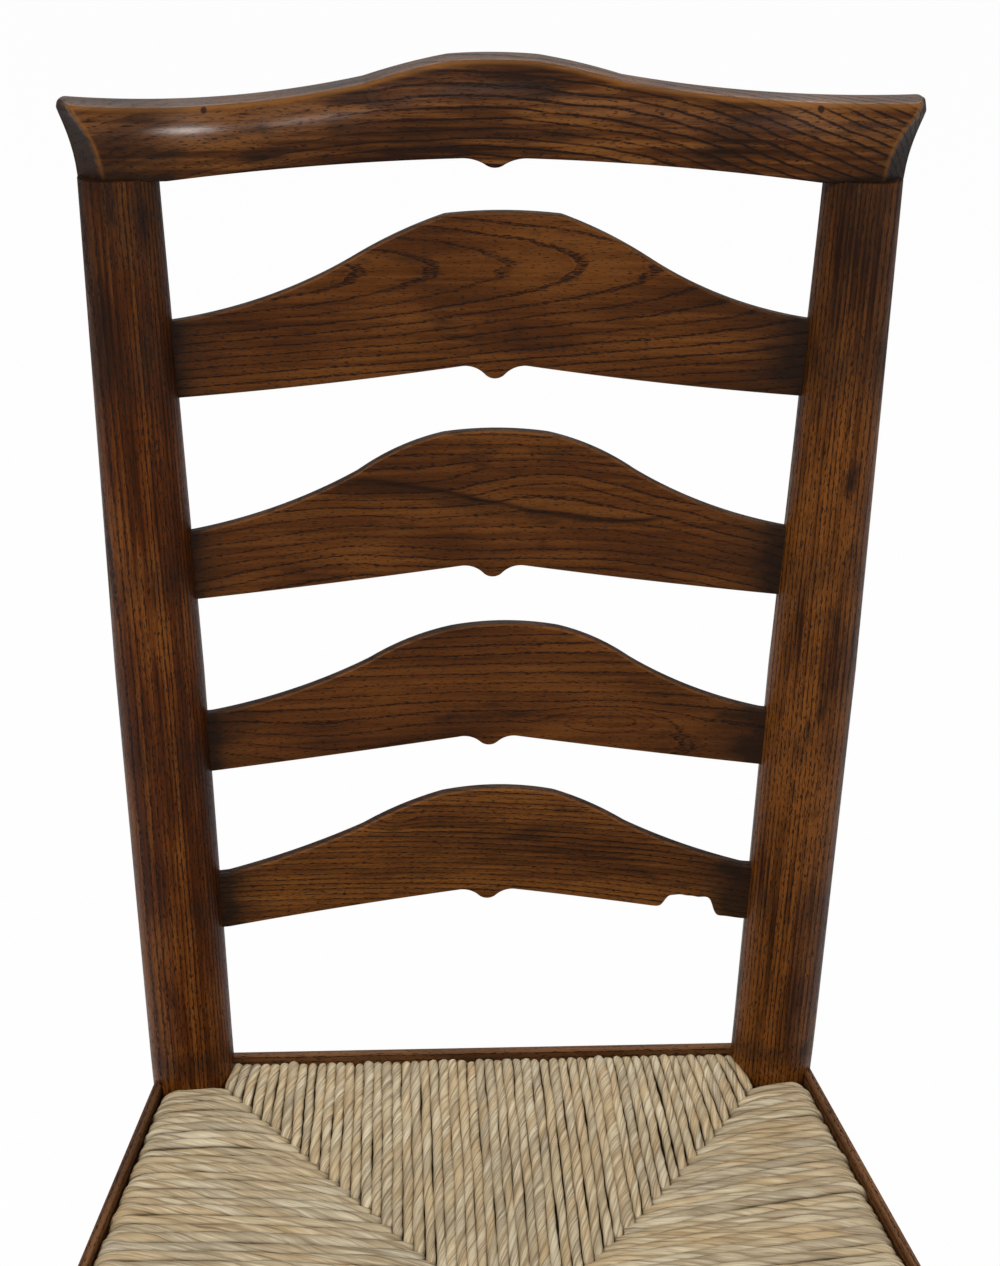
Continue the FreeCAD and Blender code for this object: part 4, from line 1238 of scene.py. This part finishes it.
    def build(self) -> None:
        """Builds the four woven sides and the stuffing."""
        rush = DryRush("dry_rush").make()
        for panel in self.panels():
            settle(self.weave(panel), rush, "rush", "rush_seat")
        settle(self.stuffing(), rush, "rush", "rush_seat")


# ---------------------------------------------------------------- edge strips and their nails

@dataclass
class EdgeStrips:
    """The thin slips round the rush and the nails that hold them.

    side_nails are places ahead of the posts, cross_nails places across the front; those at the back
    stand closer by back_share. dome is (share of the head's radius, height over the strip) by ring.
    """

    plan: ChairPlan = PLAN
    edge: float = 190.3
    flare: float = 0.196
    front: float = 385.0
    back: float = 12.7
    level: float = 421.5
    head: float = 2.3
    side_nails: tuple[float, ...] = (45.0, 113.0, 181.0, 249.0, 317.0)
    cross_nails: tuple[float, ...] = (-168.0, -56.0, 56.0, 168.0)
    back_share: float = 0.7
    dome: Rows = ((0.6, -0.8), (1.0, 0.1), (0.94, 0.55), (0.62, 0.95), (0.12, 1.1))

    def nails(self) -> bpy.types.Object:
        """The domed nail heads, each a tube of rings that stand out from the strip."""
        lean = math.atan(self.flare)
        spots = [(side * (self.edge + self.flare * ahead), -ahead, side * math.cos(lean), math.sin(lean))
                 for side in (-1, 1) for ahead in self.side_nails]
        for x in self.cross_nails:
            spots += [(x, -self.front, 0.0, -1.0), (x * self.back_share, self.back, 0.0, 1.0)]
        spots = np.array(spots)[:, None, None]
        place, way = spots[..., :2], spots[..., 2:]
        side = np.stack([-way[..., 1], way[..., 0]], axis=-1)
        size, lift = np.array(self.dome).T[..., None]
        size, angle = size * self.head, np.arange(8) / 8 * 2 * math.pi
        flat = place + side * (size * np.cos(angle))[..., None] + way * lift[..., None]
        height = np.broadcast_to(self.level + size * np.sin(angle), flat.shape[:3])
        grid = np.concatenate([flat, height[..., None]], axis=-1)
        grid[..., 1] += self.plan.setback
        return Tubes("edge_strip_nails", grid * MM).build()

    def build(self) -> None:
        """Dresses the strips and builds the nails."""
        lean = math.atan(self.flare)
        for word, along in (("left", (-math.sin(lean), -math.cos(lean), 0.0)),
                            ("right", (math.sin(lean), -math.cos(lean), 0.0)),
                            ("front", (1.0, 0.0, 0.0)), ("back", (1.0, 0.0, 0.0))):
            dress(f"{word}_edge_strip", StainedWood(
                f"{word}_strip_grain", GrainFrom.OBJECT, along, (0.1, 0.2), (0.0, 0.0), ring=0.0035, wander=0.004,
                seed=90.0 + len(word), gloss=0.42, dark=tone(62, 38, 22), middle=tone(98, 64, 36),
                light=tone(124, 84, 50)).make())
        iron = Mottled("nail_iron_finish", tone(44, 38, 34), tone(84, 56, 38), (900.0, 900.0, 900.0), 0.0, 0.35, 0.4,
                       0.0002, 0.6)
        settle(self.nails(), iron.make(), "nail_iron")


# ---------------------------------------------------------------- studio

@dataclass
class Studio:
    """Floor, soft lights, world and the camera of the photograph."""

    plan: ChairPlan = PLAN
    station: tuple[float, float, float] = (-60.2, -1008.4, 1295.9)
    pitch: float = 29.33
    yaw: float = 3.627
    roll: float = 1.255
    lens: float = 62.56
    film: float = 36.0
    floor: float = 30.0
    world_light: float = 0.45

    def camera(self) -> None:
        """Places the camera from its station, pitch down, yaw to the right and roll."""
        data = bpy.data.cameras.new("photo_camera")
        data.lens, data.sensor_width, data.sensor_fit = self.lens, self.film, "AUTO"
        data.clip_start, data.clip_end = 0.05, 60.0
        thing = stand("photo_camera", data)
        x, y, z = self.station
        thing.matrix_world = Matrix.Translation(Vector((x, y + self.plan.setback, z)) * MM)
        for angle, axis in ((-self.yaw, "Z"), (90.0 - self.pitch, "X"), (self.roll, "Z")):
            thing.matrix_world = thing.matrix_world @ Matrix.Rotation(math.radians(angle), 4, axis)
        bpy.context.scene.camera = thing

    def lamp(self, name: str, place: tuple[float, float, float], aim: tuple[float, float, float],
             size: tuple[float, float], watts: float) -> None:
        """One soft rectangular lamp."""
        data = bpy.data.lights.new(name, "AREA")
        data.shape, data.size, data.size_y, data.energy = "RECTANGLE", size[0], size[1], watts
        thing = stand(name, data)
        thing.location = place
        thing.rotation_euler = (Vector(aim) - Vector(place)).to_track_quat("-Z", "Y").to_euler()

    def world(self) -> None:
        """A soft white world that the camera sees as plain white."""
        world = bpy.data.worlds.new("studio_world")
        graph = Graph(world)
        lit, shown = (graph.node("ShaderNodeBackground", {}, {0: WHITE, 1: strength}).outputs[0]
                      for strength in (self.world_light, 1.0))
        graph.node("ShaderNodeOutputWorld", {}, {0: graph.seen_as(lit, shown, 1.0)})
        bpy.context.scene.world = world

    def build(self) -> None:
        """Builds floor, lamps, world and camera."""
        mesh = bpy.data.meshes.new("studio_floor")
        corners = [(x * self.floor, y * self.floor, 0.0) for x, y in ((-1, -1), (1, -1), (1, 1), (-1, 1))]
        mesh.from_pydata(corners, [], [(0, 1, 2, 3)])
        mesh.materials.append(StudioFloor("studio_white").make())
        floor = stand("studio_floor", mesh)
        self.lamp("key_lamp", (-1.6, -1.5, 2.9), (0.0, 0.1, 0.7), (1.6, 1.6), 58.0)
        self.lamp("fill_lamp", (2.2, -1.2, 1.9), (0.0, 0.1, 0.7), (1.8, 1.8), 26.0)
        self.lamp("rear_lamp", (0.3, 2.2, 2.4), (0.0, 0.1, 0.8), (2.2, 1.2), 24.0)
        self.lamp("gloss_lamp", (0.01, -1.93, 1.91), (-0.15, 0.2, 0.98), (0.22, 0.22), 5.5)
        self.world()
        bpy.context.scene.view_settings.view_transform = "Standard"
        self.camera()


def main() -> None:
    """Builds the chair piece by piece."""
    logging.basicConfig(level=logging.INFO, format="%(name)s %(message)s")
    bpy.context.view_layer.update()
    for part in (Back(), Underframe(), RushSeat(), EdgeStrips(), Studio()):
        part.build()
        log.info("built %s", type(part).__name__)


if __name__ == "__main__":
    main()
